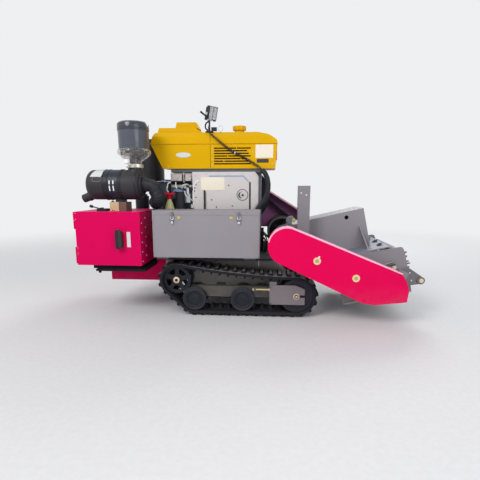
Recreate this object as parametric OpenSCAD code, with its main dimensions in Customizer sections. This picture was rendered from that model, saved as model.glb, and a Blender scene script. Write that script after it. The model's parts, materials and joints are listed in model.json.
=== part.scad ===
// Tracked cold planer with a single cylinder diesel engine on its chassis.
// +X runs from the cabinet end to the milling end, +Z is up and the near side is -Y.
// The origin is on the ground, under the middle of the machine.
// The milling unit is drawn level, from the pivot that carries it, and then raised.

/* [Tracks] */
// Distance from the middle of the machine to the inner edge of a track
track_in = 200; // [196:1:215]
// Width of one rubber track
track_w = 180; // [160:1:190]
// Thickness of the rubber belt
belt_t = 18; // [12:1:22]
// Height of the ground lugs on the belt
lug_h = 17; // [10:1:20]
// Length of a ground lug at its foot
lug_foot = 32; // [24:1:36]
// Length of a ground lug at its tip
lug_tip = 18; // [10:1:22]
// Smooth edge of the belt beside its lugs
lug_inset = 14; // [10:1:20]
// Distance from lug to lug
lug_pitch = 60; // [50:1:75]
// Height of the guide teeth inside the belt
tooth_h = 28; // [16:1:32]
// Width of the row of guide teeth
tooth_w = 50; // [36:1:56]
// Sag of the top run between the wheels
belt_sag = 16; // [0:1:24]
// Radius of the drive sprocket
sprocket_r = 93; // [85:1:98]
// Place of the drive sprocket along the machine
sprocket_x = -475; // [-490:1:-465]
// Height of the drive sprocket
sprocket_z = 240; // [230:1:250]
// Radius of a track roller
roller_r = 80; // [70:1:85]
// Place of the first track roller
roller_x = -357; // [-370:1:-345]
// Distance between the two track rollers
roller_pitch = 322; // [300:1:340]
// Radius of the front idler
idler_r = 110; // [100:1:115]
// Place of the front idler
idler_x = 318; // [305:1:325]
// Thickness of one wheel disc
disc_t = 35; // [25:1:38]
// Distance from the edge of the belt to the outer face of a disc
disc_in = 12; // [8:1:16]
// Radius of the hubs and axles between the discs
hub_r = 20; // [15:1:26]

/* [Chassis] */
// Distance from the middle to the outer face of a chassis side plate
frame_y = 188; // [184:1:190]
// Thickness of the chassis side plates
frame_t = 12; // [8:1:14]
// Height of the lower edge of the side plates
frame_z = 200; // [190:1:215]
// Underside of the side plates between the drive sprocket and the idler
frame_low = 132; // [125:1:150]
// Height of the top of the deck
deck_z = 403; // [398:1:408]
// Thickness of the deck
deck_t = 12; // [8:1:14]
// Distance from the middle to the edge of the deck
deck_y = 426; // [420:1:430]
// Left end of the chassis side plates and the deck
frame_x0 = -590; // [-596:1:-580]
// Right end of the deck
deck_x1 = 150; // [140:1:160]
// Height of the lower edge of the magenta tail
tail_z = 192; // [185:1:205]
// Left end of the magenta tail
tail_x = -996; // [-1010:1:-980]

/* [Side boxes] */
// Left end of the side boxes
box_x0 = -603; // [-610:1:-598]
// Right end of the near side box
box_near_x1 = 76; // [60:1:90]
// Right end of the far side box
box_far_x1 = -345; // [-380:1:-340]
// Height of the side boxes
box_h = 300; // [280:1:310]
// Distance from the middle to the inner wall of a side box
box_y0 = 240; // [236:1:250]
// Distance from the middle to the front face of a side box
box_y1 = 430; // [430:1:436]
// Wall of the side boxes
box_wall = 4; // [3:1:5]
// Height of the fixed strip above the drop door
box_head = 28; // [20:1:36]
// Gap around doors
door_gap = 0.6; // [0.4:0.1:1]

/* [Cabinet] */
// Left end of the cabinet
cab_x0 = -1105; // [-1112:1:-1100]
// Right end of the cabinet
cab_x1 = -682; // [-690:1:-675]
// Front face of the cabinet, measured from the middle
cab_y1 = 440; // [436:1:445]
// Back of the cabinet, measured from the middle
cab_y0 = 20; // [15:1:40]
// Height of the floor of the cabinet
cab_z0 = 348; // [344:1:352]
// Height of the cabinet
cab_h = 345; // [335:1:350]
// Wall of the cabinet
cab_wall = 4; // [3:1:5]
// Radius of the hinge barrels
hinge_r = 5; // [4:0.5:6]

/* [Engine] */
// Height of the engine feet
engine_z0 = 545; // [535:1:555]
// Top of the engine block
engine_z1 = 950; // [940:1:955]
// Left end of the engine block
engine_x0 = -397; // [-402:1:-390]
// Right end of the engine block
engine_x1 = 76; // [70:1:82]
// Near face of the engine and of its hood, measured from the middle
engine_y = 150; // [145:1:155]
// Thickness of the gear case on the near side
gear_t = 40; // [30:1:45]
// Radius of the flywheel
flywheel_r = 215; // [200:1:220]
// Place of the crankshaft along the machine
crank_x = -78; // [-85:1:-70]
// Height of the crankshaft
crank_z = 790; // [785:1:795]
// Left end of the cylinder head
head_x0 = -551; // [-556:1:-545]

/* [Hood] */
// Height of the seam between tank and shroud
seam_z = 1134; // [1128:1:1140]
// Height of the lower edge of the shroud
shroud_z = 972; // [966:1:978]
// Left end of the hood at the seam
hood_x0 = -677; // [-685:1:-670]
// Right end of the hood at the seam
hood_x1 = 180; // [172:1:188]
// Height of the top of the tank
tank_z = 1212; // [1206:1:1218]
// Height of the raised pan above the tank
pan_h = 35; // [30:1:40]

/* [Intake and exhaust] */
// Radius of the air filter
filter_r = 100; // [92:1:104]
// Height of the middle of the air filter
filter_z = 862; // [856:1:868]
// Distance of the air filter from the middle
filter_y = 300; // [290:1:310]
// Radius of the intake hose
hose_r = 45; // [40:1:46]
// Radius of the precleaner bowl
bowl_r = 103; // [95:1:106]
// Top of the precleaner
bowl_z1 = 1258; // [1250:1:1265]
// Radius of the muffler
muffler_r = 95; // [85:1:100]

/* [Drive] */
// Place of the jackshaft, the pivot of the milling unit, along the machine
pivot_x = 241; // [238:1:245]
// Height of the jackshaft
pivot_z = 498; // [494:1:502]
// Radius of the jackshaft
shaft_r = 22; // [18:1:24]
// Outer radius of the pivot tube
tube_r = 45; // [40:1:48]
// Radius of the jackshaft pulley in the near belt guard
near_pulley_r = 90; // [84:1:92]
// Radius of the jackshaft pulley on the far side
far_pulley_r = 120; // [110:1:125]
// Radius of the belt pulley on the flywheel
engine_pulley_r = 100; // [92:1:104]
// Thickness of the drive belts
drive_belt_t = 11; // [8:1:12]

/* [Milling unit] */
// Angle by which the milling unit is raised at rest
raise = 13; // [11:1:14]
// Distance from the middle to the outer face of the side plates
mill_y = 340; // [330:1:345]
// Thickness of the side plates
mill_t = 12; // [8:1:14]
// Left edge of the housing, measured from the pivot
mill_x0 = 285; // [280:1:292]
// Right edge of the housing, measured from the pivot
mill_x1 = 725; // [720:1:730]
// Depth of the deck below the pivot
mill_top = 170; // [167:1:173]
// Depth of the lower edge of the side plates below the pivot
mill_foot = 490; // [484:1:490]
// Left end of the lifting beam, measured from the pivot
beam_x0 = 196; // [190:1:202]
// Right end of the lifting beam, measured from the pivot
beam_x1 = 568; // [560:1:575]
// Height of the top of the lifting beam above the pivot
beam_z1 = 85; // [80:1:90]
// Half width of the lifting beam
beam_y = 125; // [118:1:130]
// Wall of the lifting beam
beam_t = 10; // [8:1:12]
// Radius of the lifting hole in the beam
lift_hole_r = 14; // [10:1:16]

/* [Drum] */
// Drum centre, measured along the machine from the pivot
drum_x = 515; // [510:1:518]
// Depth of the drum centre below the pivot
drum_drop = 365; // [362:1:368]
// Radius of the bare drum
drum_r = 118; // [110:1:122]
// Radius over the tips of the picks
pick_tip_r = 170; // [164:1:172]
// Number of rows of picks
pick_rows = 18; // [12:1:20]
// Radius of the drum pulley
drum_pulley_r = 85; // [80:1:87]
// Radius of the drum shaft
drum_shaft_r = 30; // [26:1:34]

/* [Belt guards] */
// Radius of the round end of the near guard
guard_r = 114; // [112:1:118]
// Depth of the near guard
guard_d = 100; // [90:1:104]
// Outer face of the near guard, measured from the middle
guard_y = 540; // [535:1:545]
// Wall of the guards
guard_t = 3; // [2:1:4]
// Height of the bolt heads on both guards
bolt_head = 6; // [4:1:8]
// Depth of the far guard
far_guard_d = 120; // [110:1:122]

/* [Lift cylinder] */
// Place of the lower pin along the machine
ram_x = 244; // [238:1:250]
// Height of the lower pin
ram_z = 228; // [224:1:234]
// Radius of the cylinder barrel
ram_r = 28; // [24:1:32]
// Radius of the rod
rod_r = 14; // [11:1:16]
// Radius of the pins
ram_pin_r = 10; // [8:1:11]

/* [Lamp and post] */
// Left edge of the post
post_x = 322; // [318:1:326]
// Width of the post
post_w = 78; // [70:1:84]
// Top of the post
post_z1 = 856; // [850:1:862]
// Height of the middle of the work lamp above the tank
lamp_h = 124; // [118:1:130]

/* [Hidden] */
$fn = 48;

// Clearance between round faces, of a running shaft in its bore, and of a belt on its wheel
fit = 0.3;
run = 0.1;
belt_gap = 0.8;
track_out = track_in + track_w;
track_mid = track_in + track_w / 2;
belt_floor = belt_t + lug_h;
roller_z = belt_floor + roller_r;
idler_z = belt_floor + idler_r;
// Y ranges of the outer and the inner disc of each wheel, on the near side
disc_rows = [[track_out - disc_in - disc_t, track_out - disc_in],
    [track_in + disc_in, track_in + disc_in + disc_t]];
beam_lo = 118;
beam_hi = 190;
deck_under = deck_z - deck_t;
box_top = deck_z + box_h;
pan_z = tank_z + pan_h;
cab_z1 = cab_z0 + cab_h;
door_t = box_wall;
engine_far = 130;
drum_y = mill_y - mill_t - 10;
pulley_y0 = guard_y - guard_d + 5;
pulley_y1 = guard_y - 35;
far_pulley_y0 = 330;
far_pulley_y1 = 400;
belt_y0 = guard_y - far_guard_d + 10;
belt_y1 = guard_y - 20;

// Plain shapes placed by their faces
module block(x, y, z) {
    translate([x[0], y[0], z[0]])
        cube([x[1] - x[0], y[1] - y[0], z[1] - z[0]]);
}

module rod_y(x, z, r, y0, y1) {
    translate([x, y1, z])
        rotate([90, 0, 0])
            cylinder(r = r, h = y1 - y0);
}

module rod_x(y, z, r, x0, x1) {
    translate([x0, y, z])
        rotate([0, 90, 0])
            cylinder(r = r, h = x1 - x0);
}

module rod_z(x, y, r, z0, z1) {
    translate([x, y, z0])
        cylinder(r = r, h = z1 - z0);
}

// A plate with its outline in X and Z, between two values of Y
module plate_y(outline, y0, y1) {
    translate([0, y1, 0])
        rotate([90, 0, 0])
            linear_extrude(y1 - y0)
                polygon(outline);
}

// The same thing on both sides of the machine
module both_sides() {
    children();
    mirror([0, 1, 0])
        children();
}

module far_side() {
    mirror([0, 1, 0])
        children();
}

// Level milling unit, measured from the pivot, brought to its raised pose
module raised() {
    translate([pivot_x, 0, pivot_z])
        rotate([0, -raise, 0])
            children();
}

// Outline moved inwards by d, for an outline drawn clockwise
function edge_normal(p, i) =
    let (n = len(p), a = p[i], b = p[(i + 1) % n], d = b - a)
    [d[1], -d[0]] / norm(d);
function inset(p, d) = [for (i = [0:len(p) - 1])
    let (n = len(p), m = edge_normal(p, (i + n - 1) % n), k = edge_normal(p, i))
    p[i] + d * (m + k) / (1 + m * k)];

// Belt path: outward normal angle of the tangent from wheel a to wheel b, each [x, z, r]
function tangent_angle(a, b) =
    let (d = [b[0] - a[0], b[1] - a[1]])
    (atan2(d[1], d[0]) + acos((a[2] - b[2]) / norm(d)) + 360) % 360;
function on_wheel(w, angle, off) = [w[0] + (w[2] + off) * cos(angle), w[1] + (w[2] + off) * sin(angle)];
function arc_points(w, from, to, off) =
    let (steps = ceil(abs(from - to) / 9))
    [for (i = [0:steps]) on_wheel(w, from + (to - from) * i / steps, off)];

track_wheels = [[sprocket_x, sprocket_z, sprocket_r], [idler_x, idler_z, idler_r],
    [roller_x, roller_z, roller_r]];
angle_top = tangent_angle(track_wheels[0], track_wheels[1]);
angle_floor = tangent_angle(track_wheels[1], track_wheels[2]);
angle_rear = tangent_angle(track_wheels[2], track_wheels[0]);
top_steps = 14;
function top_run(off) =
    let (a = on_wheel(track_wheels[0], angle_top, off), b = on_wheel(track_wheels[1], angle_top, off))
    [for (i = [1:top_steps - 1]) let (t = i / top_steps) a + (b - a) * t - [0, 4 * belt_sag * t * (1 - t)]];
function belt_path(off) = concat(
    arc_points(track_wheels[0], angle_rear, angle_top, off),
    top_run(off),
    arc_points(track_wheels[1], angle_top, angle_floor - 360, off),
    arc_points(track_wheels[2], angle_floor, angle_rear, off));
function run_lengths(p, i = 0, sum = 0) =
    i > len(p) ? [] : concat([sum], run_lengths(p, i + 1, sum + norm(p[(i + 1) % len(p)] - p[i % len(p)])));
function segment_at(lengths, s, i = 0) = lengths[i + 1] > s ? i : segment_at(lengths, s, i + 1);
function along(p, lengths, s) =
    let (total = lengths[len(p)], u = (s % total + total) % total, i = segment_at(lengths, u))
    let (a = p[i], b = p[(i + 1) % len(p)])
    a + (b - a) * (u - lengths[i]) / (lengths[i + 1] - lengths[i]);
// A closed outline with teeth: h is positive outwards, and negative inwards
function toothed(p, count, foot, tip, h) =
    let (lengths = run_lengths(p), pitch = lengths[len(p)] / count)
    [for (k = [0:count - 1], q = [-foot / 2, -tip / 2, tip / 2, foot / 2])
        let (s = k * pitch, c = along(p, lengths, s + q))
        let (d = along(p, lengths, s + q + 1) - along(p, lengths, s + q - 1), n = [-d[1], d[0]] / norm(d))
        abs(q) < foot / 2 ? c + h * n : c];
lug_count = round(run_lengths(belt_path(belt_t))[len(belt_path(0))] / lug_pitch);

module belt_ring(outer, inner, y0, y1) {
    difference() {
        plate_y(outer, y0, y1);
        plate_y(inner, y0 - 1, y1 + 1);
    }
}

module track() {
    color("#1b1b1c") {
        belt_ring(belt_path(belt_t), belt_path(0), -track_out, -track_in);
        belt_ring(toothed(belt_path(belt_t), lug_count, lug_foot, lug_tip, lug_h),
            belt_path(belt_t - 4), -track_out + lug_inset, -track_in - lug_inset);
        belt_ring(belt_path(2), toothed(belt_path(0), lug_count, lug_tip + 8, 8, -tooth_h),
            -track_mid - tooth_w / 2, -track_mid + tooth_w / 2);
    }
}

module track_near() {
    track();
}

module track_far() {
    far_side()
        track();
}

// One wheel: two discs with a rim and a web, on a hub
module wheel(x, z, r, rim) {
    web_in = 8;
    for (row = disc_rows) {
        difference() {
            rod_y(x, z, r - belt_gap, -row[1], -row[0]);
            rod_y(x, z, r - rim, -row[1] - 1, -row[1] + web_in);
            rod_y(x, z, r - rim, -row[0] - web_in, -row[0] + 1);
        }
        rod_y(x, z, hub_r + 14, -row[1] + 2, -row[0] - 2);
    }
    rod_y(x, z, hub_r, -disc_rows[0][0] - 2, -disc_rows[1][1] + 2);
}

module rollers() {
    color("#2b2c2e")
        both_sides() {
            for (i = [0:1])
                wheel(roller_x + i * roller_pitch, roller_z, roller_r, 30);
            wheel(idler_x, idler_z, idler_r, 20);
            rod_y(idler_x, idler_z, slot_half - fit, -tens_y1 - 1, -disc_rows[0][1] + 2);
            rod_y(idler_x, idler_z, 13, -tens_y1 - 9, -tens_y1 - 1);
        }
}

// Drive sprocket: two plates with five arms, on the hub of the drive motor
module sprockets() {
    arms = 5;
    arm_w = 26;
    plate_t = 14;
    window_r0 = 40;
    window_r1 = sprocket_r - 20;
    half = 180 / arms;
    window = [for (c = [[window_r0, -1], [window_r1, -1], [window_r1, -0.5], [window_r1, 0], [window_r1, 0.5],
        [window_r1, 1], [window_r0, 1]])
        let (angle = c[1] * (half - asin(arm_w / 2 / c[0]))) c[0] * [cos(angle), sin(angle)]];
    color("#2b2c2e")
        both_sides() {
            for (row = disc_rows)
                difference() {
                    rod_y(sprocket_x, sprocket_z, sprocket_r - belt_gap, -row[0] - plate_t - 8, -row[0] - 8);
                    for (i = [0:arms - 1])
                        translate([sprocket_x, 0, sprocket_z])
                            rotate([0, i * 360 / arms + 20, 0])
                                plate_y(window, -row[0] - plate_t - 9, -row[0] - 7);
                }
            rod_y(sprocket_x, sprocket_z, 34, -disc_rows[0][0] - 9, -track_in + 4);
            rod_y(sprocket_x, sprocket_z, 14, -disc_rows[0][1], -disc_rows[0][0] - 9);
        }
}

tens_y0 = track_out - 11;
tens_y1 = track_out - 3;
slot_half = 9;
tens_x0 = idler_x - 175;
tens_x1 = idler_x + 54;
spacer_x1 = idler_x - idler_r - 8;
tens_hi = idler_z + 73;
tens_lo = idler_z - 57;
rod_stop = roller_x + roller_pitch + 86;

module tensioners() {
    color("#77757a")
        both_sides() {
            difference() {
                plate_y([[tens_x0, tens_lo], [tens_x0, tens_hi], [tens_x1 - 60, tens_hi],
                    [tens_x1, tens_hi - 24], [tens_x1, tens_lo]], -tens_y1, -tens_y0);
                block([idler_x, tens_x1 + 1], [-tens_y1 - 1, -tens_y0 + 1],
                    [idler_z - slot_half, idler_z + slot_half]);
                rod_y(idler_x, idler_z, slot_half, -tens_y1 - 1, -tens_y0 + 1);
            }
            block([tens_x0, spacer_x1], [-tens_y0, -track_mid - tooth_w / 2 + 3],
                [beam_lo + 8, beam_hi - 6]);
            rod_x(-tens_y0 + 5, beam_hi - 5, 5, rod_stop + 4, tens_x0 + 20);
            block([tens_x0, tens_x0 + 46], [-tens_y0, -tens_y0 + 12], [beam_hi - 14, tens_hi + 20]);
        }
}

// Beams between the wheel discs, with the brackets that join them to the chassis
module track_frames() {
    beam_y0 = track_mid - tooth_w / 2 + 3;
    beam_y1 = track_mid + tooth_w / 2 - 3;
    between = roller_x + roller_pitch / 2;
    color("#6d6a6c")
        both_sides()
            difference() {
                union() {
                    block([roller_x - 32, tens_x0 + 60], [-beam_y1, -beam_y0], [beam_lo, beam_hi]);
                    for (x = [between, roller_x + roller_pitch + roller_r + 45])
                        block([x - 30, x + 30], [-beam_y0 - 2, -frame_y], [beam_lo + 10, beam_hi - 4]);
                    for (i = [0:1])
                        block([roller_x + i * roller_pitch - 32, roller_x + i * roller_pitch + 32],
                            [-beam_y1, -beam_y0], [roller_z - 27, beam_lo + 1]);
                    block([rod_stop - 12, rod_stop + 4], [-tens_y0, -beam_y1 + 2], [beam_hi - 16, beam_hi + 6]);
                }
                for (i = [0:1])
                    rod_y(roller_x + i * roller_pitch, roller_z, hub_r + fit, -beam_y1 - 1, -beam_y0 + 1);
            }
}

pivot_boss_r = 58;

// Side plates, cross members, deck, engine rails and the ram's lower ears
module chassis_frame() {
    nose = pivot_x + 165;
    side = [[frame_x0, frame_z], [frame_x0, deck_under], [pivot_x - 110, deck_under],
        [pivot_x - pivot_boss_r, pivot_z], [pivot_x + pivot_boss_r, pivot_z],
        [nose, deck_z + 20], [nose, frame_z + 110], [nose - 70, frame_z],
        [idler_x - 40, frame_low], [roller_x - 50, frame_low], [roller_x - 80, frame_z]];
    color("#5a5759")
        difference() {
            union() {
                both_sides() {
                    plate_y(side, -frame_y, -frame_y + frame_t);
                    rod_y(pivot_x, pivot_z, pivot_boss_r, -frame_y, -frame_y + frame_t);
                    for (x = [roller_x + 125, roller_x + roller_pitch + 40])
                        block([x - 5, x + 5], [-track_in + 3, -frame_y], [beam_hi + 8, deck_under]);
                    block([engine_x0 - 20, engine_x1 + 20], [-130, -80], [deck_z, engine_z0]);
                    block([ram_x - 30, ram_x + 22], [-36, -24], [ram_z - 22, ram_z + 22]);
                }
                block([frame_x0, deck_x1], [-deck_y, deck_y], [deck_under, deck_z]);
                for (x = [frame_x0 + 60, -200, ram_x - 60])
                    block([x - 30, x + 30], [-frame_y + frame_t, frame_y - frame_t], [frame_z + 10, frame_z + 90]);
                rod_y(ram_x, ram_z, ram_pin_r, -36, 36);
                rod_y(pivot_x, pivot_z, tube_r, -frame_y - 1, frame_y + 1);
                both_sides()
                    rod_y(pivot_x, pivot_z, pivot_boss_r + 2, -frame_y - 14, -frame_y);
            }
            rod_y(pivot_x, pivot_z, shaft_r + run, -frame_y - 20, frame_y + 20);
        }
}

// Magenta tail of the chassis that carries the cabinet and the tank
module tail_frame() {
    y1 = frame_y - frame_t;
    y0 = y1 - 8;
    color("#b5155a")
        union() {
            both_sides()
                plate_y([[tail_x, tail_z], [tail_x, cab_z0 - 40], [cab_x1 + 26, cab_z0 - 40],
                    [cab_x1 + 26, deck_under], [frame_x0 + 30, deck_under], [frame_x0 + 30, tail_z]], -y1, -y0);
            block([tail_x, tail_x + 8], [-y1, y1], [tail_z, cab_z0 - 40]);
        }
}

module latch(x, z, y) {
    block([x - 11, x + 11], [-y - 7, -y], [z - 34, z - 4]);
    block([x - 6, x + 6], [-y - 10, -y - 6], [z - 46, z + 20]);
}

// Hollow side box with a drop door in front, drawn on the near side
module side_box(x1) {
    lip = 24;
    color("#76747a")
        difference() {
            union() {
                block([box_x0, x1], [-box_y1 + door_t + door_gap, -box_y0], [deck_z, box_top]);
                block([box_x0, x1], [-box_y1, -box_y0], [box_top - box_head, box_top]);
                for (x = [box_x0 + 80, x1 - 80]) {
                    rod_x(-hinge_y, hinge_z, hinge_r, x - 18, x + 18);
                    block([x - 18, x + 18], [-hinge_y, -deck_y], [hinge_z - 3, hinge_z + 3]);
                }
            }
            block([box_x0 + box_wall, x1 - box_wall],
                [-box_y1 + door_t + door_gap + box_wall, -box_y0 - box_wall],
                [deck_z + box_wall, box_top - box_wall]);
            block([box_x0 + lip, x1 - lip], [-box_y1 - 1, -box_y0 - box_wall - 10],
                [deck_z + lip, box_top - box_head - lip / 2]);
        }
}

hinge_y = box_y1 + 2;
hinge_z = deck_z - hinge_r;

module side_door(x1) {
    top = box_top - box_head - 2 * door_gap;
    inset_x = 40;
    color("#807e84")
        union() {
            block([box_x0, x1], [-box_y1, -box_y1 + door_t], [deck_z + 1, top]);
            for (x = [box_x0 + inset_x, x1 - inset_x]) {
                rod_x(-hinge_y, hinge_z, hinge_r, x - 18, x + 18);
                block([x - 18, x + 18], [-hinge_y - 1, -hinge_y + 3], [hinge_z, deck_z + 2]);
            }
            for (t = [0.19, 0.81])
                latch(box_x0 + t * (x1 - box_x0), top, box_y1);
        }
}

module side_box_near() {
    side_box(box_near_x1);
}

module side_door_near() {
    side_door(box_near_x1);
}

module side_box_far() {
    far_side()
        side_box(box_far_x1);
}

module side_door_far() {
    far_side()
        side_door(box_far_x1);
}

cab_hinge_x = cab_x0 - hinge_r;
cab_hinge_y = cab_y1 - door_t / 2;
hinge_l = 54;
cab_hinges = [cab_z0 + hinge_l + 10, cab_z1 - hinge_l - 2];

module cabinet_body() {
    front = -cab_y1 + door_t + door_gap;
    lip = 22;
    color("#d3105c")
        difference() {
            union() {
                block([cab_x0, cab_x1], [front, -cab_y0], [cab_z0, cab_z1]);
                for (z = cab_hinges) {
                    rod_z(cab_hinge_x, -cab_hinge_y, hinge_r, z - hinge_l, z - 1);
                    block([cab_hinge_x, cab_x0 + 1], [front, front + 4], [z - hinge_l, z - 1]);
                    block([cab_hinge_x - 2, cab_hinge_x + 2], [-cab_hinge_y, front + 4], [z - hinge_l, z - 1]);
                }
            }
            block([cab_x0 + cab_wall, cab_x1 - cab_wall], [front + cab_wall, -cab_y0 - cab_wall],
                [cab_z0 + cab_wall, cab_z1 - cab_wall]);
            block([cab_x0 + lip, cab_x1 - lip], [front - 1, -cab_y0 - cab_wall - 10],
                [cab_z0 + lip, cab_z1 - lip]);
        }
}

module cabinet_door() {
    handle_x = cab_x1 - 140;
    handle_z = cab_z0 + 172;
    color("#e01262")
        union() {
            block([cab_x0, cab_x1], [-cab_y1, -cab_y1 + door_t], [cab_z0, cab_z1]);
            for (z = cab_hinges) {
                rod_z(cab_hinge_x, -cab_hinge_y, hinge_r, z + 1, z + hinge_l);
                block([cab_hinge_x, cab_x0 + 12], [-cab_y1 - 2, -cab_y1 + 1], [z + 1, z + hinge_l]);
            }
            for (s = [-1, 1])
                block([handle_x - 10, handle_x + 10], [-cab_y1 - 28, -cab_y1],
                    [handle_z + s * 50 - 9, handle_z + s * 50 + 9]);
            block([handle_x - 10, handle_x + 10], [-cab_y1 - 38, -cab_y1 - 24], [handle_z - 59, handle_z + 59]);
        }
}

// Black shelf under the cabinet, and the plinth between them
module cabinet_tray() {
    tray_z = cab_z0 - 40;
    y1 = cab_y1 + 8;
    color("#1e1e20")
        union() {
            block([tail_x + 8, cab_x1 + 20], [-y1 + 16, 360], [tray_z, tray_z + 14]);
            rod_x(-y1 + 16, tray_z + 7, 7, tail_x + 8, cab_x1 + 20);
            block([cab_x0 + 90, cab_x1 - 20], [-cab_y1 + 30, -cab_y0 - 20], [tray_z + 14, cab_z0]);
            block([cab_x0 + 90, cab_x1 - 20], [tank_y0 + 20, tank_y1 - 20], [tray_z + 14, cab_z0]);
            rod_z(tail_x + 24, -y1 + 34, 9, tray_z - 14, tray_z);
        }
}

tank_y0 = 40;
tank_y1 = 380;

// Oil tank on the far side, in line with the cabinet
module hydraulic_tank() {
    x0 = cab_x0 + 55;
    z1 = cab_z1 - 60;
    color("#c01058")
        union() {
            block([x0, cab_x1], [tank_y0, tank_y1], [cab_z0, z1]);
            rod_z(x0 + 90, tank_y1 - 90, 34, z1, z1 + 30);
            rod_z(x0 + 90, tank_y1 - 90, 26, z1 + 30, z1 + 44);
            rod_z(x0 + 208, tank_y0 + 80, 52, z1, z1 + 150);
            rod_z(x0 + 208, tank_y0 + 80, 40, z1 + 150, z1 + 164);
        }
}

module engine_block() {
    color("#4a4a4c")
        union() {
            block([engine_x0, engine_x1], [-engine_y + gear_t, engine_far], [engine_z0, engine_z1]);
            block([engine_x0 + 30, engine_x1 - 30], [-engine_y + gear_t + 10, engine_far - 10],
                [engine_z1, shroud_z]);
            rod_y(crank_x, crank_z, 60, engine_far, engine_far + 20);
        }
}

// Pale cover on the near side, with a raised edge, a round boss and a cover plate
module gear_case() {
    chamfer = 52;
    face = -engine_y;
    edge = [[engine_x0, engine_z0], [engine_x0, engine_z1], [engine_x1 - 41, engine_z1],
        [engine_x1, engine_z1 - chamfer], [engine_x1, engine_z0]];
    color("#a09d9c")
        union() {
            plate_y(edge, face + 6, face + gear_t);
            difference() {
                plate_y(inset(edge, 42), face, face + 7);
                plate_y(inset(edge, 50), face - 1, face + 5);
            }
            difference() {
                rod_y(crank_x + 28, crank_z + 5, 34, face - 8, face + 7);
                rod_y(crank_x + 28, crank_z + 5, 24, face - 9, face - 2);
            }
            rod_y(crank_x + 28, crank_z + 5, 11, face - 10, face);
            rod_x(face - 2, crank_z + 20, 4, engine_x0 + 83, engine_x0 + 84);
            block([engine_x0 + 50, engine_x0 + 230], [face - 4, face + 7], [engine_z1 - 105, engine_z1 - 20]);
            block([engine_x0 + 78, engine_x0 + 88], [face - 3, face + 7], [engine_z0 + 120, engine_z1 - 100]);
        }
}

module cylinder_head() {
    cover_x0 = head_x0 - 124;
    color("#8b8987")
        difference() {
            union() {
                block([head_x0, engine_x0], [-engine_y + 20, 90], [640, engine_z1 - 8]);
                block([cover_x0, head_x0], [-110, 60], [690, 885]);
                rod_y(port_x, port_z, hose_r, -filter_y + bend_b, -110);
                block([head_x0 + 4, engine_x0 - 10], [-engine_y + 6, -engine_y + 20], [engine_z1 - 84, engine_z1 - 16]);
            }
            rod_y(head_x0 + 26, engine_z1 - 38, 11, -engine_y, -engine_y + 30);
        }
}

// Lower half of the hood, with louvre slots in its near and far sides
module radiator_shroud() {
    taper_l = 78;
    taper_r = 8;
    slots = 7;
    slot_pitch = 17;
    color("#e5a90d")
        difference() {
            plate_y([[hood_x0, seam_z], [hood_x1, seam_z], [hood_x1 - taper_r, shroud_z],
                [hood_x0 + taper_l, shroud_z]], -engine_y, engine_y);
            for (i = [0:slots - 1], side = [-1, 1])
                block([hood_x1 - 423, hood_x1 - 175 - 12 * (i % 3)], [side * engine_y - 8, side * engine_y + 8],
                    [shroud_z + 28 + i * slot_pitch, shroud_z + 34 + i * slot_pitch]);
        }
}

tank_step_x = hood_x0 + 345;

module fuel_tank() {
    bevel = 26;
    nose = 128;
    cap_x0 = hood_x0 + 152;
    cap_l = 165;
    fuel_x = hood_x1 - 262;
    color("#efb310")
        difference() {
            union() {
                plate_y([[hood_x0 + 2, seam_z], [hood_x0 + 4, seam_z + 16], [hood_x0 + bevel - 8, tank_z - 14],
                    [hood_x0 + bevel, tank_z], [hood_x1 - nose, tank_z], [hood_x1 - nose / 2, tank_z - 14],
                    [hood_x1 - nose / 4, tank_z - 32], [hood_x1, seam_z + 24],
                    [hood_x1 + 3, seam_z]], -engine_y - 3, engine_y + 3);
                block([hood_x0 - 3, hood_x1 + 4], [-engine_y - 6, engine_y + 6], [seam_z, seam_z + 7]);
                plate_y([[hood_x0 + bevel + 8, tank_z], [hood_x0 + bevel + 20, pan_z],
                    [tank_step_x - 50, pan_z], [tank_step_x + 12, tank_z]], -engine_y + 55, engine_y - 55);
                plate_y([[cap_x0, pan_z], [cap_x0 + 10, pan_z + 42], [cap_x0 + cap_l - 20, pan_z + 42],
                    [cap_x0 + cap_l, pan_z]], -58, 58);
                rod_z(fuel_x, 0, 34, tank_z, tank_z + 26);
                rod_z(fuel_x, 0, 45, tank_z + 26, tank_z + 54);
            }
            for (side = [-1, 1])
                translate([0, side * (engine_y + 3), tank_z])
                    rotate([45, 0, 0])
                        block([hood_x0 - 10, hood_x1 + 10], [-22, 22], [-22, 22]);
        }
}

muffler_x = -795;
muffler_y = 250;
muffler_z0 = 880;
muffler_z1 = 1156;

module muffler() {
    color("#242428")
        union() {
            rod_z(muffler_x, muffler_y, muffler_r, muffler_z0, muffler_z1);
            rod_z(muffler_x, muffler_y, 24, muffler_z1, muffler_z1 + 60);
            rod_z(muffler_x, muffler_y, 28, 800, muffler_z0);
            rod_x(muffler_y, 828, 28, muffler_x, head_x0 + 40);
            rod_y(head_x0 + 12, 828, 28, 90, muffler_y);
        }
}

filter_x0 = -1051;
filter_x1 = -691;
// Raised bands of the air filter: start and end from its left end
filter_bands = [[117, 155], [218, 240]];
bend_a = 65;
bend_b = 50;
port_x = filter_x1 + bend_a;
port_z = filter_z - bend_a - bend_b;
bowl_x = -742;

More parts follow.
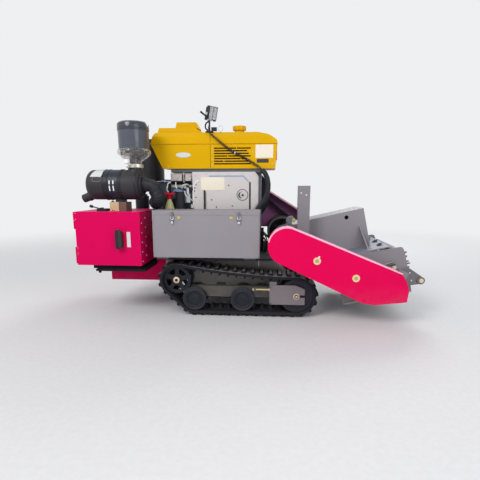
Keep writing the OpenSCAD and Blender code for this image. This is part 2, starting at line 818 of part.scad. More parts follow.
// Dry air filter lying on its bracket, with clamp bands, neck and dust spout
module air_filter() {
    color("#1d1d22")
        union() {
            translate([filter_x0, -filter_y, filter_z])
                rotate([0, 90, 0]) {
                    cylinder(r1 = filter_r - 22, r2 = filter_r - 4, h = 26);
                    translate([0, 0, 26])
                        cylinder(r = filter_r - 4, h = filter_x1 - filter_x0 - 46);
                    translate([0, 0, filter_x1 - filter_x0 - 20])
                        cylinder(r1 = filter_r - 4, r2 = filter_r - 16, h = 12);
                }
            for (band = filter_bands)
                rod_x(-filter_y, filter_z, filter_r, filter_x0 + band[0], filter_x0 + band[1]);
            rod_x(-filter_y, filter_z, hose_r + 24, filter_x1 - 12, filter_x1);
            translate([filter_x0 + 34, -filter_y, filter_z - 45])
                rotate([0, -122, 0])
                    cylinder(r1 = 27, r2 = 23, h = 84);
            rod_z(bowl_x, -filter_y, 44, filter_z, bowl_z1 - 290);
        }
}

module filter_bracket() {
    x = -845;
    color("#2a2a2c")
        difference() {
            union() {
                block([x - 31, x + 31], [-filter_y - 60, -filter_y + 60], [cab_z1, cab_z1 + 58]);
                block([x - 26, x + 26], [-filter_y - 34, -filter_y + 34], [cab_z1 + 58, filter_z - 50]);
            }
            rod_x(-filter_y, filter_z, filter_r - 4 + fit, x - 60, x + 60);
            for (band = filter_bands)
                rod_x(-filter_y, filter_z, filter_r + fit, filter_x0 + band[0] - 1, filter_x0 + band[1] + 1);
        }
}

// Bowl with a lid and a collar, standing on the neck of the air filter
module precleaner() {
    color("#3a3d44")
        translate([bowl_x, -filter_y, bowl_z1 - 290])
            rotate_extrude()
                polygon([[0, 0], [52, 0], [52, 26], [42, 30], [42, 40], [bowl_r - 25, 58], [bowl_r, 84],
                    [bowl_r + 4, 96], [bowl_r + 4, 104], [bowl_r - 4, 118], [bowl_r - 7, 130], [bowl_r - 5, 262],
                    [bowl_r - 12, 280], [bowl_r - 36, 290], [0, 290]]);
}

module elbow(bend, r) {
    rotate_extrude(angle = 90)
        translate([bend, 0])
            circle(r = r);
}

// Corrugated hose: out of the filter, down, and inwards to the engine
module intake_hose() {
    color("#19191c")
        union() {
            translate([filter_x1, -filter_y, filter_z - bend_a])
                rotate([90, 0, 0])
                    elbow(bend_a, hose_r);
            translate([port_x, -filter_y + bend_b, filter_z - bend_a])
                rotate([0, 0, -90])
                    rotate([90, 0, 0])
                        rotate([0, 0, -90])
                            elbow(bend_b, hose_r);
        }
}

module fuel_filter() {
    color("#202024")
        union() {
            rod_z(-477, -engine_y - 34, 32, 700, 815);
            rod_z(-477, -engine_y - 34, 20, 815, 838);
            block([-490, -464], [-engine_y - 10, -engine_y + 20], [770, 800]);
        }
}

module oil_bottle() {
    x = -552;
    y = -engine_y - 34;
    z = deck_z;
    color("#d8d89a")
        union() {
            block([x - 38, x + 38], [y - 36, y + 36], [z, z + 292]);
            translate([x, y, z + 292])
                cylinder(r1 = 36, r2 = 16, h = 72);
            rod_z(x, y, 12, z + 364, z + 396);
            block([x - 44, x + 40], [y - 9, y + 9], [z + 396, z + 408]);
        }
}

module control_valve() {
    x = -942;
    y = -350;
    color("#222224")
        union() {
            block([x - 40, x + 18], [y - 30, y + 40], [cab_z1, cab_z1 + 16]);
            translate([x - 20, y, cab_z1 + 12])
                rotate([0, -75, 0]) {
                    cylinder(r = 4, h = 66);
                    translate([0, 0, 62])
                        cylinder(r = 9, h = 18);
                }
        }
}

lamp_x = -262;
lamp_y = -engine_y + 30;
lamp_z = tank_z + lamp_h;

module work_lamp() {
    color("#26262a")
        union() {
            translate([lamp_x, lamp_y, lamp_z])
                rotate([0, 12, -35]) {
                    block([-16, 16], [-40, 40], [-46, 46]);
                    block([-34, -16], [-28, 28], [-30, 30]);
                }
            rod_z(lamp_x - 14, lamp_y, 8, tank_z, lamp_z - 30);
            block([lamp_x - 40, lamp_x + 12], [lamp_y - 14, lamp_y + 14], [tank_z, tank_z + 8]);
        }
}

// A tube swept along points with a ring of sides at each, as one closed surface
function tube_dir(p, i) =
    let (a = p[max(i - 1, 0)], b = p[min(i + 1, len(p) - 1)])
    (b - a) / norm(b - a);
function tube_ring(p, i, r, sides) =
    let (d = tube_dir(p, i), s = cross(d, [0, 1, 0]), u = s / norm(s), v = cross(d, u))
    [for (k = [0:sides - 1]) p[i] + r * (cos(k * 360 / sides) * u + sin(k * 360 / sides) * v)];

module tube(p, r, sides) {
    n = len(p);
    points = [for (i = [0:n - 1]) each tube_ring(p, i, r, sides)];
    walls = [for (i = [0:n - 2], k = [0:sides - 1])
        let (m = (k + 1) % sides)
        [i * sides + k, (i + 1) * sides + k, (i + 1) * sides + m, i * sides + m]];
    ends = [[for (k = [0:sides - 1]) k], [for (k = [sides - 1:-1:0]) (n - 1) * sides + k]];
    polyhedron(points, concat(walls, ends), convexity = 6);
}

cable_route = [[-276, -131, 1250], [-274, -150, 1232], [-266, -163, 1200], [-226, -170, 1166], [-180, -165, 1128],
    [-134, -162, 1094], [-86, -161, 1066], [-36, -161, 1040], [16, -163, 1010], [60, -170, 982],
    [83, -176, 959]];
hose_route = [[83, -176, 959], [103, -181.2, 939], [118, -184, 906], [125, -187, 868], [124, -187, 828],
    [114, -187, 788], [96, -187, 752], [74, -187, 724], [56, -187, 696], [46, -187, 656], [44, -187, 600],
    [44, -187, 500], [44, -187, deck_z]];

module lamp_cable() {
    color("#151517")
        tube(cable_route, 5, 8);
}

module drain_hose() {
    color("#17171a")
        tube(hose_route, 17, 10);
}

// Channel post on the near side of the chassis, with two bolt holes near its top
module post() {
    y1 = frame_y + 56;
    wall = 6;
    hole_r = 4.5;
    color("#8a878a")
        difference() {
            block([post_x, post_x + post_w], [-y1, -frame_y], [frame_z + 116, post_z1]);
            block([post_x + wall, post_x + post_w - wall], [-y1 + wall, -frame_y + 1],
                [deck_z + 60, post_z1 + 1]);
            rod_y(post_x + 19, post_z1 - 47, hole_r, -y1 - 1, -y1 + wall + 1);
            rod_y(post_x + 53, post_z1 - 59, hole_r, -y1 - 1, -y1 + wall + 1);
        }
}

far_guard_c1 = [crank_x, crank_z];
far_guard_r1 = 140;
far_guard_r2 = 223;
far_guard_cut = 514;
far_guard_bolts = [[crank_x, crank_z], [pivot_x + 60, far_guard_cut + 120]];

// Solid of two round ends and the straight sides between them
module capsule(a, ra, b, rb, y0, y1) {
    base = atan2(b[1] - a[1], b[0] - a[0]);
    swing = acos((ra - rb) / norm(b - a));
    rod_y(a[0], a[1], ra, y0, y1);
    rod_y(b[0], b[1], rb, y0, y1);
    plate_y([a + ra * [cos(base + swing), sin(base + swing)], b + rb * [cos(base + swing), sin(base + swing)],
        b + rb * [cos(base - swing), sin(base - swing)], a + ra * [cos(base - swing), sin(base - swing)]], y0, y1);
}

// Shell open towards the machine, with a lip around its open side
module far_guard() {
    y0 = guard_y - far_guard_d;
    face = guard_y - bolt_head;
    pivot = [pivot_x, pivot_z];
    stay_x = crank_x - 40;
    color("#5c1238")
        union() {
            difference() {
                capsule(far_guard_c1, far_guard_r1, pivot, far_guard_r2, y0, face);
                capsule(far_guard_c1, far_guard_r1 - guard_t, pivot, far_guard_r2 - guard_t,
                    y0 + guard_t, face - guard_t);
                capsule(far_guard_c1, far_guard_r1 - 12, pivot, far_guard_r2 - 12, y0 - 1, y0 + guard_t + 1);
                block([pivot_x - 400, pivot_x + 400], [y0 - 1, guard_y + 1], [200, far_guard_cut]);
            }
            block([stay_x - 20, stay_x + 20], [y0 - 10, y0], [deck_z, far_guard_c1[1] - 130]);
            for (p = far_guard_bolts)
                rod_y(p[0], p[1], 22, face - 1, guard_y);
        }
}

// Path around two pulleys, each [x, z, r], with the first one on the left
function loop_path(a, b, off) =
    let (top = tangent_angle(a, b), low = tangent_angle(b, a))
    concat(arc_points(a, low, top, off), arc_points(b, top, low - 360, off));

module belt_loop(a, b, y0, y1) {
    belt_ring(loop_path(a, b, drive_belt_t), loop_path(a, b, belt_gap), y0, y1);
}

module engine_belts() {
    color("#1b1b1d")
        belt_loop([crank_x, crank_z, engine_pulley_r], [pivot_x, pivot_z, far_pulley_r],
            belt_y0 + 8, belt_y1 - 8);
}

module flywheel() {
    color("#3b3b3e")
        union() {
            difference() {
                rod_y(crank_x, crank_z, flywheel_r, engine_far + 30, engine_far + 110);
                rod_y(crank_x, crank_z, flywheel_r - 40, engine_far + 80, engine_far + 111);
            }
            rod_y(crank_x, crank_z, 50, engine_far + 20 + fit, belt_y1);
            rod_y(crank_x, crank_z, engine_pulley_r, belt_y0, belt_y1);
        }
}

// Jackshaft with its near pulley and its spoked far pulley
module jackshaft() {
    spokes = 5;
    color("#2a2a2c")
        union() {
            rod_y(pivot_x, pivot_z, shaft_r, -pulley_y1, belt_y1);
            rod_y(pivot_x, pivot_z, far_pulley_r, belt_y0, belt_y1);
            rod_y(pivot_x, pivot_z, near_pulley_r, -pulley_y1, -pulley_y0);
            difference() {
                rod_y(pivot_x, pivot_z, far_pulley_r, far_pulley_y0, far_pulley_y1);
                difference() {
                    rod_y(pivot_x, pivot_z, far_pulley_r - 22, far_pulley_y0 - 1, far_pulley_y1 + 1);
                    rod_y(pivot_x, pivot_z, 42, far_pulley_y0 - 2, far_pulley_y1 + 2);
                    for (i = [0:spokes - 1])
                        translate([pivot_x, (far_pulley_y0 + far_pulley_y1) / 2, pivot_z])
                            rotate([0, i * 360 / spokes, 0])
                                block([0, far_pulley_r], [-10, 10], [-11, 11]);
                }
            }
        }
}

// Deck, side plates, walls, bearing housings and the ears of the lift cylinder
module mill_housing() {
    plate = 8;
    inner = mill_y - mill_t;
    deck_end = mill_x1 - 89;
    color("#87848a")
        raised()
            difference() {
                union() {
                    both_sides()
                        block([ram_eye[0] - 16, mill_x0 + 2], [-36, -24], [ram_eye[1] - 20, ram_eye[1] + 20]);
                    block([mill_x0, deck_end], [-inner, inner], [-mill_top - plate, -mill_top]);
                    plate_y([[deck_end - 4, -mill_top], [deck_end, -mill_top], [mill_x1, -mill_top - 55],
                        [mill_x1, -mill_top - 65], [deck_end - 4, -mill_top - 10]], -inner, inner);
                    block([mill_x0, mill_x0 + plate], [-inner, inner], [-mill_top - 210, -mill_top]);
                    block([mill_x1 - plate, mill_x1], [-inner, inner], [-mill_top - 120, -mill_top - 56]);
                    rod_y(ram_eye[0], ram_eye[1], ram_pin_r, -36, 36);
                }
                for (y = [-235:150:215])
                    block([deck_end - 44, deck_end - 12], [y - 8, y + 8], [-mill_top - plate - 1, -mill_top + 1]);
            }
}

// Side plates of the housing with the bearing housings, the tow arms and the arm of the guard
module mill_sides() {
    guard_arm = [[70, -30], [mill_x0 + 60, -mill_top - 60], [mill_x0 + 60, -mill_top - 150], [60, -90]];
    color("#87848a")
        raised()
            difference() {
                union() {
                    both_sides() {
                        plate_y([[mill_x0, -mill_top], [mill_x1 - 24, -mill_top - 17], [mill_x1 - 12, -mill_top - 22],
                            [mill_x1 - 6, -mill_top - 36], [mill_x1, -mill_top - 90], [mill_x1, -mill_foot],
                            [mill_x0, -mill_foot]], -mill_y, -mill_y + mill_t);
                        rod_y(drum_x, -drum_drop, 62, -mill_y - 26, -mill_y);
                        plate_y([[mill_x1 - 60, -324], [mill_x1 + 2, -326], arm_boss + [18, 15],
                            arm_boss + [6, -24], [mill_x1 - 60, -440]], -mill_y - 12, -mill_y);
                        rod_y(arm_boss[0], arm_boss[1], 24, -mill_y - 22, -mill_y);
                    }
                    plate_y(guard_arm, -mill_y - guard_arm_t, -mill_y);
                }
                rod_y(drum_x, -drum_drop, drum_shaft_r + run, -mill_y - 30, mill_y + 30);
                both_sides() {
                    rod_y(arm_boss[0], arm_boss[1], arm_bore_r, -mill_y - 23, -mill_y + 1);
                    for (h = arm_holes)
                        rod_y(h[0], h[1], 6, -mill_y - 13, -mill_y + 1);
                }
            }
}

guard_arm_t = 10;
arm_holes = [[mill_x1 + 7, -363], [mill_x1 + 9, -415]];
ram_eye = [240, -205];
guard_bolts = [[157, -124], [362, -276]];
arm_boss = [mill_x1 + 62, -424];
arm_bore_r = 12;

// Box beam on the deck with its pivot arms, the lifting hole and the gussets
module lift_beam() {
    arm_t = beam_t;
    arm = [[beam_x0 + 20, beam_z1], [beam_x0 + 20, -mill_top + 60], [0, -68], [0, 68]];
    color("#8a878b")
        raised()
            difference() {
                union() {
                    difference() {
                        block([beam_x0, beam_x1], [-beam_y, beam_y], [-mill_top, beam_z1]);
                        block([beam_x0 - 1, beam_x1 - beam_t], [-beam_y + beam_t, beam_y - beam_t],
                            [-mill_top - 1, beam_z1 - beam_t]);
                    }
                    both_sides() {
                        plate_y(arm, -beam_y, -beam_y + arm_t);
                        rod_y(0, 0, 68, -beam_y, -beam_y + arm_t);
                        plate_yz([[-beam_y, -mill_top + 146], [-beam_y, -mill_top], [-beam_y - 145, -mill_top]],
                            beam_x1 - 52, beam_x1 - 44);
                    }
                }
                rod_y(0, 0, tube_r + run, -beam_y - 1, beam_y + 1);
                rod_y(beam_x0 + 249, 46, lift_hole_r, -beam_y - 1, beam_y + 1);
            }
}

// A plate with its outline in Y and Z, between two values of X
module plate_yz(outline, x0, x1) {
    translate([x0, 0, 0])
        rotate([90, 0, 90])
            linear_extrude(x1 - x0)
                polygon(outline);
}

guard_outline = [[64, 94], [580, -270], [625, -301], [648, -355], [653, -417], [629, -485], [443, -464],
    [371, -437], [-70, -90]];

module guard_solid(shrink, y0, y1) {
    rod_y(0, 0, guard_r - shrink, y0, y1);
    plate_y(inset(guard_outline, shrink), y0, y1);
}

module belt_guard() {
    face = guard_y - bolt_head;
    color("#e6125f")
        raised() {
            difference() {
                guard_solid(0, -face, -guard_y + guard_d);
                guard_solid(guard_t, -face + guard_t, -guard_y + guard_d + 1);
            }
            for (p = guard_bolts) {
                rod_y(p[0], p[1], 12, -face + 1, -mill_y - guard_arm_t);
                rod_y(p[0], p[1], 22, -guard_y, -face + 1);
            }
        }
}

module drum_belts() {
    color("#1b1b1d")
        raised()
            belt_loop([0, 0, near_pulley_r], [drum_x, -drum_drop, drum_pulley_r],
                -pulley_y1 + 6, -pulley_y0 - 6);
}

// Drum with its shaft and picks in a spiral
module milling_drum() {
    picks_per_row = 3;
    twist = 47;
    color("#5b5753")
        raised()
            translate([drum_x, 0, -drum_drop])
                union() {
                    rod_y(0, 0, drum_r, -drum_y, drum_y);
                    rod_y(0, 0, drum_shaft_r, -pulley_y1, mill_y + 34);
                    rod_y(0, 0, drum_pulley_r, -pulley_y1, -pulley_y0);
                    for (i = [0:pick_rows - 1], j = [0:picks_per_row - 1])
                        translate([0, -drum_y + 18 + i * (2 * drum_y - 36) / (pick_rows - 1), 0])
                            rotate([0, i * twist + j * 360 / picks_per_row, 0])
                                translate([0, 0, drum_r - 6])
                                    cylinder(r1 = 15, r2 = 5, h = pick_tip_r - drum_r + 6);
                }
}

// World place of the pin on the raised milling unit, and the line of the cylinder
ram_top = [pivot_x + ram_eye[0] * cos(raise) - ram_eye[1] * sin(raise),
    pivot_z + ram_eye[0] * sin(raise) + ram_eye[1] * cos(raise)];
ram_len = norm(ram_top - [ram_x, ram_z]);
ram_angle = atan2(ram_top[1] - ram_z, ram_top[0] - ram_x);

module ram_line() {
    translate([ram_x, 0, ram_z])
        rotate([0, -ram_angle, 0])
            children();
}

module ram_barrel() {
    barrel_end = 178;
    color("#33343a")
        ram_line()
            difference() {
                union() {
                    rod_y(0, 0, 24, -20, 20);
                    rod_x(0, 0, ram_r, 38, barrel_end);
                    rod_x(0, 0, 15, 10, 40);
                }
                rod_y(0, 0, ram_pin_r + run, -21, 21);
                rod_x(0, 0, rod_r + run, 44, barrel_end + 1);
            }
}

module ram_rod() {
    color("#c9c9cc")
        ram_line()
            difference() {
                union() {
                    rod_x(0, 0, rod_r, 116, ram_len - 16);
                    rod_y(ram_len, 0, 22, -18, 18);
                }
                rod_y(ram_len, 0, ram_pin_r + 2.5, -19, 19);
            }
}

chassis_frame();
tail_frame();
track_frames();
track_near();
track_far();
sprockets();
rollers();
tensioners();
side_box_near();
side_door_near();
side_box_far();
side_door_far();
cabinet_body();
cabinet_door();
cabinet_tray();
hydraulic_tank();
engine_block();
gear_case();
cylinder_head();
radiator_shroud();
fuel_tank();
muffler();
air_filter();
filter_bracket();
precleaner();
intake_hose();
fuel_filter();
oil_bottle();
control_valve();
work_lamp();
lamp_cable();
drain_hose();
post();
far_guard();
engine_belts();
flywheel();
jackshaft();
mill_housing();
mill_sides();
lift_beam();
belt_guard();
drum_belts();
milling_drum();
ram_barrel();
ram_rod();
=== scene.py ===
import json
from math import asin, cos, pi, radians, sin
import bpy
import bmesh
from mathutils import Matrix, Vector


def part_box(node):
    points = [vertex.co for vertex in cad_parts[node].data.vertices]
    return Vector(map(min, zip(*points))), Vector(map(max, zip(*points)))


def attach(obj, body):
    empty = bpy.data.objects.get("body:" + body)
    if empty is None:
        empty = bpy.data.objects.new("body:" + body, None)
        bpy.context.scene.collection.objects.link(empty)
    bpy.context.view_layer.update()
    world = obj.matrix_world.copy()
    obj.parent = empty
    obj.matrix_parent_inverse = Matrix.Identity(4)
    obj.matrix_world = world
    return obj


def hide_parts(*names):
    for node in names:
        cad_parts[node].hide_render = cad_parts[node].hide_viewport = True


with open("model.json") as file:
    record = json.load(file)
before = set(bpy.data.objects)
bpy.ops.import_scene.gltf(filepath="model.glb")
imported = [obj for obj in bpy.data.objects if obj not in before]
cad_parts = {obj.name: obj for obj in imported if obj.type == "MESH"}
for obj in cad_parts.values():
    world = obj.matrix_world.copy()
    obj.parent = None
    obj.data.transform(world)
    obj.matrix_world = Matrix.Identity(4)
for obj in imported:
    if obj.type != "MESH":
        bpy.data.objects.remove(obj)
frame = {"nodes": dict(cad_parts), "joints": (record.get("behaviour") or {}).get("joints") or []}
nodes = frame["nodes"]
joints = {joint["name"]: joint for joint in frame["joints"]}
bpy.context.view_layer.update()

# Units, directions and the machine's two sides: sizes are in millimetres, Blender's objects are in metres
MM = 0.001
ALL = 9999
SIDES = (-1, 1)
LEFT, RIGHT, NEAR, FAR, UP = (-1, 0, 0), (1, 0, 0), (0, -1, 0), (0, 1, 0), (0, 0, 1)


def placed(name, data):
    """A new object in the scene."""
    ob = bpy.data.objects.new(name, data)
    bpy.context.scene.collection.objects.link(ob)
    return ob


# Camera at the photograph's angle
cam_data = bpy.data.cameras.new("camera")
cam = placed("camera", cam_data)
cam.location = (0.124, -2.79, 0.835)
cam.rotation_euler = (radians(79.27), 0, radians(4.14))
cam_data.lens = 28.5
cam_data.sensor_width = 36
cam_data.shift_y = 0.04375
bpy.context.scene.camera = cam


# Places that are read from the frame
def joint_at(name):
    """Where a joint turns."""
    return [round(c / MM, 1) for c in joints[name]["pos_m"]]


def corners(name):
    """Lowest and highest corner of a CAD node."""
    return [[round(c / MM, 1) for c in corner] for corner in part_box(name)]


def turns(n, start=0):
    """The angles of n even steps round a circle."""
    return [2 * pi * (k + start) / n for k in range(n)]


def around(x, z, r, angles):
    """Points on a circle in X and Z."""
    return [(x + r * cos(t), z + r * sin(t)) for t in angles]


def spin(angle, axis):
    return Matrix.Rotation(angle, 3, axis)


# The raised milling unit's own frame: level at the lift's upper limit, measured from its pivot
PIVOT = joint_at("lift")
RAISE = radians(joints["lift"]["range_deg"][1])
TILT = spin(-RAISE, "Y")
UNIT_X = (cos(RAISE), 0, sin(RAISE))


def unit(x, y, z):
    """A point of the level milling unit, in the row frame."""
    return (PIVOT[0] + x * cos(RAISE) - z * sin(RAISE), y,
            PIVOT[2] + x * sin(RAISE) + z * cos(RAISE))


# Shader nodes
MIX_A, MIX_B, MIX_COLOR = 6, 7, 2


class Tree:
    """The shader nodes of one material, or of the world."""

    def __init__(self, owner):
        owner.use_nodes = True
        self.nodes = owner.node_tree.nodes
        self.link = owner.node_tree.links.new

    def add(self, kind, values=(), **sets):
        """A new node: values for its first inputs, and properties or inputs by name."""
        made = self.nodes.new("ShaderNode" + kind)
        for socket, value in zip(made.inputs, values):
            self.feed(socket, value)
        for key, value in sets.items():
            if hasattr(made, key):
                setattr(made, key, value)
            else:
                made.inputs[key].default_value = value
        return made

    def feed(self, socket, value):
        """Gives a socket another socket, a colour, a vector or a number."""
        if isinstance(value, bpy.types.NodeSocket):
            self.link(value, socket)
        elif isinstance(value, tuple):
            socket.default_value = (*value, 1)
        else:
            socket.default_value = value

    def calc(self, operation, *values):
        return self.add("Math", values, operation=operation).outputs[0]

    def vectors(self, operation, *values):
        """Vector maths that ends in a number."""
        return self.add("VectorMath", values, operation=operation).outputs["Value"]

    def noise(self, vec, scale, detail, rough=0.55):
        return self.add("TexNoise", [vec], Scale=scale, Detail=detail, Roughness=rough).outputs["Fac"]

    def ramp(self, fac, a, b, lo=0.0, hi=1.0):
        """A smooth step from lo, where fac is a, to hi, where fac is b."""
        return self.add("MapRange", [fac, a, b, lo, hi], interpolation_type="SMOOTHSTEP").outputs["Result"]

    def mix(self, fac, a, b):
        made = self.add("Mix", [fac], data_type="RGBA")
        self.feed(made.inputs[MIX_A], a)
        self.feed(made.inputs[MIX_B], b)
        return made.outputs[MIX_COLOR]


def scaled(color, by):
    return tuple(min(1, c * by) for c in color)


# Layers of a material: each one takes the colour so far and gives the next
def bolt_heads(tree, shade, vec, centres, radius, color):
    """Round bolt heads of another colour."""
    near = None
    for centre in centres:
        away = tree.vectors("DISTANCE", vec, centre)
        near = away if near is None else tree.calc("MINIMUM", near, away)
    return tree.mix(tree.ramp(near, radius, radius + 0.0015, 1.0, 0.0), shade, color)


def worn_edges(tree, shade, normal, mid, amount, color):
    """Bare metal in patches, where the rounded normal leaves the real one."""
    soft = tree.add("Bevel", Radius=0.004, samples=4).outputs[0]
    edge = tree.ramp(tree.vectors("DOT_PRODUCT", soft, normal), 0.98, 0.85)
    return tree.mix(tree.calc("MULTIPLY", edge, tree.ramp(mid, 0.44, 0.62, 0.0, amount)), shade, color)


def painted_top_sheen(tree, shade, normal, height, mid, amount, color, start):
    """A painted highlight: a paler tint of the faces that look up, as if lit by the sky, above the height
    start where there is one.
    """
    up = tree.add("SeparateXYZ", [normal]).outputs["Z"]
    sheen = tree.calc("MULTIPLY", tree.ramp(up, 0.55, 0.85, 0.0, amount), tree.ramp(mid, 0.25, 0.7, 0.75, 1.0))
    if start:
        sheen = tree.calc("MULTIPLY", sheen, tree.ramp(height, start, start + 0.03))
    return tree.mix(sheen, shade, color)


def dust_cover(tree, height, mid, amount, reach):
    """How much dust lies low down and in corners."""
    low = tree.ramp(height, 0.0, reach, 1.0, 0.0)
    open_air = tree.add("AmbientOcclusion", Distance=0.02, samples=4).outputs["AO"]
    hollow = tree.ramp(open_air, 0.7, 0.3, 0.0, 0.6)
    return tree.calc("MULTIPLY", tree.calc("MAXIMUM", low, hollow), tree.ramp(mid, 0.36, 0.66, 0.2, amount))


materials = {}
DIRT = (0.30, 0.27, 0.24)
OILY_DIRT = (0.06, 0.055, 0.055)


def material(name, color, rough, metal=0.0, coat=0.0, vary=0.05, spots=0.05, grain=300, bump=0.05, dust=0.03,
             dust_z=0.3, dust_color=DIRT, top=0.05, top_color=(0.42, 0.43, 0.46), top_z=None, wear=0.0,
             wear_color=(0.42, 0.41, 0.40), spec=0.25, brushed=None, fade=None, heads=None):
    """Paint, rubber or metal: slow and fine colour change, dust low down and in corners, worn edges, and a
    painted highlight on the faces that look up (top, top_color).

    fade is (axis, from, to, colour): the colour that takes over along an axis of the row frame, painted shade
    on the frame.
    top_z is the height where the painted highlight of the upper faces begins. heads is (centres, radius,
    colour) of round bolt heads.
    """
    made = bpy.data.materials.new(name)
    tree = Tree(made)
    vec = tree.add("TexCoord").outputs["Object"]
    normal = tree.add("NewGeometry").outputs["Normal"]
    place = tree.add("SeparateXYZ", [vec]).outputs
    slow = tree.noise(vec, 2.3, 3.0)
    mid = tree.noise(vec, 19.0, 6.0, 0.65)
    fine = tree.noise(vec, grain, 3.0)
    shade = tree.mix(tree.ramp(slow, 0.3, 0.7), scaled(color, 1 - vary), scaled(color, 1 + vary))
    if fade:
        shade = tree.mix(tree.ramp(place[fade[0]], fade[1], fade[2]), shade, fade[3])
    shade = tree.mix(tree.ramp(mid, 0.5, 0.78, 0.0, spots), shade, scaled(color, 0.45))
    shade = tree.mix(tree.ramp(fine, 0.35, 0.75, 0.0, 0.12), shade, scaled(color, 0.72))
    rough = tree.calc("ADD", tree.ramp(mid, 0.3, 0.75, -0.05, 0.08), rough)
    if heads:
        shade = bolt_heads(tree, shade, vec, *heads)
    if wear > 0:
        shade = worn_edges(tree, shade, normal, mid, wear, wear_color)
    if top > 0:
        shade = painted_top_sheen(tree, shade, normal, place["Z"], mid, top, top_color, top_z)
    if dust > 0:
        cover = dust_cover(tree, place["Z"], mid, dust, dust_z)
        shade = tree.mix(cover, shade, dust_color)
        rough = tree.calc("MAXIMUM", rough, tree.calc("MULTIPLY", cover, 0.9))
    if brushed:
        streaks = tree.noise(tree.add("Mapping", [vec], Scale=brushed).outputs[0], 1.0, 3.0)
        rough = tree.calc("ADD", rough, tree.ramp(streaks, 0.3, 0.7, -0.08, 0.12))
    height = tree.calc("ADD", fine, tree.calc("MULTIPLY", mid, 0.5))
    relief = tree.add("Bump", Strength=bump, Distance=0.002)
    tree.link(height, relief.inputs["Height"])
    surface = tree.nodes["Principled BSDF"].inputs
    tree.link(shade, surface["Base Color"])
    tree.link(rough, surface["Roughness"])
    tree.link(relief.outputs[0], surface["Normal"])
    for key, value in (("Metallic", metal), ("Specular IOR Level", spec), ("Coat Weight", coat),
                       ("Coat Roughness", 0.12)):
        surface[key].default_value = value
    materials[name] = made


def clear(name, color, rough, through, alpha=0.75):
    """Glass or clear plastic with a little dirt."""
    made = bpy.data.materials.new(name)
    tree = Tree(made)
    dirt = tree.noise(tree.add("TexCoord").outputs["Object"], 25.0, 5.0)
    surface = tree.nodes["Principled BSDF"].inputs
    tree.link(tree.ramp(dirt, 0.35, 0.7, rough, rough + 0.2), surface["Roughness"])
    tree.link(tree.mix(tree.ramp(dirt, 0.5, 0.75, 0.0, 0.4), color, (0.5, 0.47, 0.42)), surface["Base Color"])
    for key, value in (("Transmission Weight", through), ("IOR", 1.45), ("Alpha", alpha)):
        surface[key].default_value = value
    materials[name] = made


# Magenta and yellow paint
LACQUER = dict(vary=0.04, spots=0.02, bump=0.03, spec=0.06)
# The top_color of these three paints is a painted highlight on the faces that look up: pale pink, pink and
# pale yellow.
material("magenta", (0.74, 0.0006, 0.080), 0.42, grain=420, dust=0.02, wear=0.15, top=0.85,
         top_color=(1.0, 0.50, 0.74), **LACQUER)
material("cabinet", (0.65, 0.0006, 0.090), 0.42, grain=420, dust=0.02, wear=0.15, top=0.25,
         top_color=(0.85, 0.12, 0.35), **LACQUER)
material("yellow", (0.69, 0.385, 0.0010), 0.36, coat=0.03, grain=380, dust=0.0, wear=0.1, top=0.04,
         top_color=(0.86, 0.62, 0.15), **LACQUER)
# A darker copy of the magenta for the far guard's inside: painted shade, with a pink painted highlight on its
# faces that look up.
material("magenta_shaded", (0.34, 0.125, 0.28), 0.5, vary=0.12, grain=420, dust=0.04, top=0.8,
         top_color=(0.95, 0.40, 0.62), spec=0.15)
# Pale pink for the guards' edges: a painted highlight of the sky on the magenta.
material("pink_highlight", (0.90, 0.50, 0.64), 0.45, bump=0.04, dust=0.02, top=0, spec=0.1)
material("red", (0.66, 0.004, 0.035), 0.36, coat=0.1, bump=0.03, dust=0.02, spec=0.12)

# Grey and dark paint on steel
GRAPHITE = (0.095, 0.102, 0.118)
PRIMER = dict(vary=0.04, spots=0.04, grain=360, dust=0.06, top=0, wear=0.3)
material("grey", (0.278, 0.260, 0.283), 0.42, **PRIMER)
material("steelgrey", (0.238, 0.223, 0.243), 0.42, **PRIMER)
# A bluer grey for the milling housing's faces that look up: a painted reflection of the sky.
material("deck", (0.190, 0.203, 0.262), 0.45, spots=0.03, grain=360, top=0, wear=0.1)
material("taupe", (0.180, 0.158, 0.172), 0.45, vary=0.06, spots=0.06, grain=320, bump=0.07, dust=0.08,
         wear=0.3)
material("beam", (0.078, 0.073, 0.068), 0.5, vary=0.08, spots=0.08, bump=0.08, dust=0.06, wear=0.3)
material("arm", (0.150, 0.147, 0.158), 0.45, vary=0.06, grain=340, dust=0.06, top=0, wear=0.3)
# The frame's pale colour low down is brightened against the shade it lies in, and its near black above 330 to
# 360 mm is painted shade.
material("frame", (0.38, 0.365, 0.345), 0.5, vary=0.10, spots=0.1, bump=0.08, dust=0.06, top=0, wear=0.2,
         fade=("Z", 0.33, 0.36, (0.022, 0.018, 0.029)))
# Near-black pitch for the cabinet tray, and as painted shade on the chassis frame.
material("pitch", (0.014, 0.012, 0.017), 0.6, vary=0.1, spots=0.1, bump=0.06, dust=0.04, top=0, spec=0.06)
material("black", (0.016, 0.016, 0.021), 0.42, vary=0.15, bump=0.06)
# The navy's bluer top_color is a painted highlight on the filter's upper side.
material("navy", (0.015, 0.017, 0.033), 0.38, vary=0.12, dust=0.02, spec=0.3, top=0.25,
         top_color=(0.03, 0.035, 0.09))
material("slate", (0.045, 0.045, 0.055), 0.45, vary=0.1, bump=0.04)
# Near black for the hood's seams, and as painted shade in the louvres, in the head's gaps and inside the
# hood.
material("dark", (0.006, 0.006, 0.006), 0.9, vary=0.1, grain=200, dust=0.0, top=0, spec=0.1)

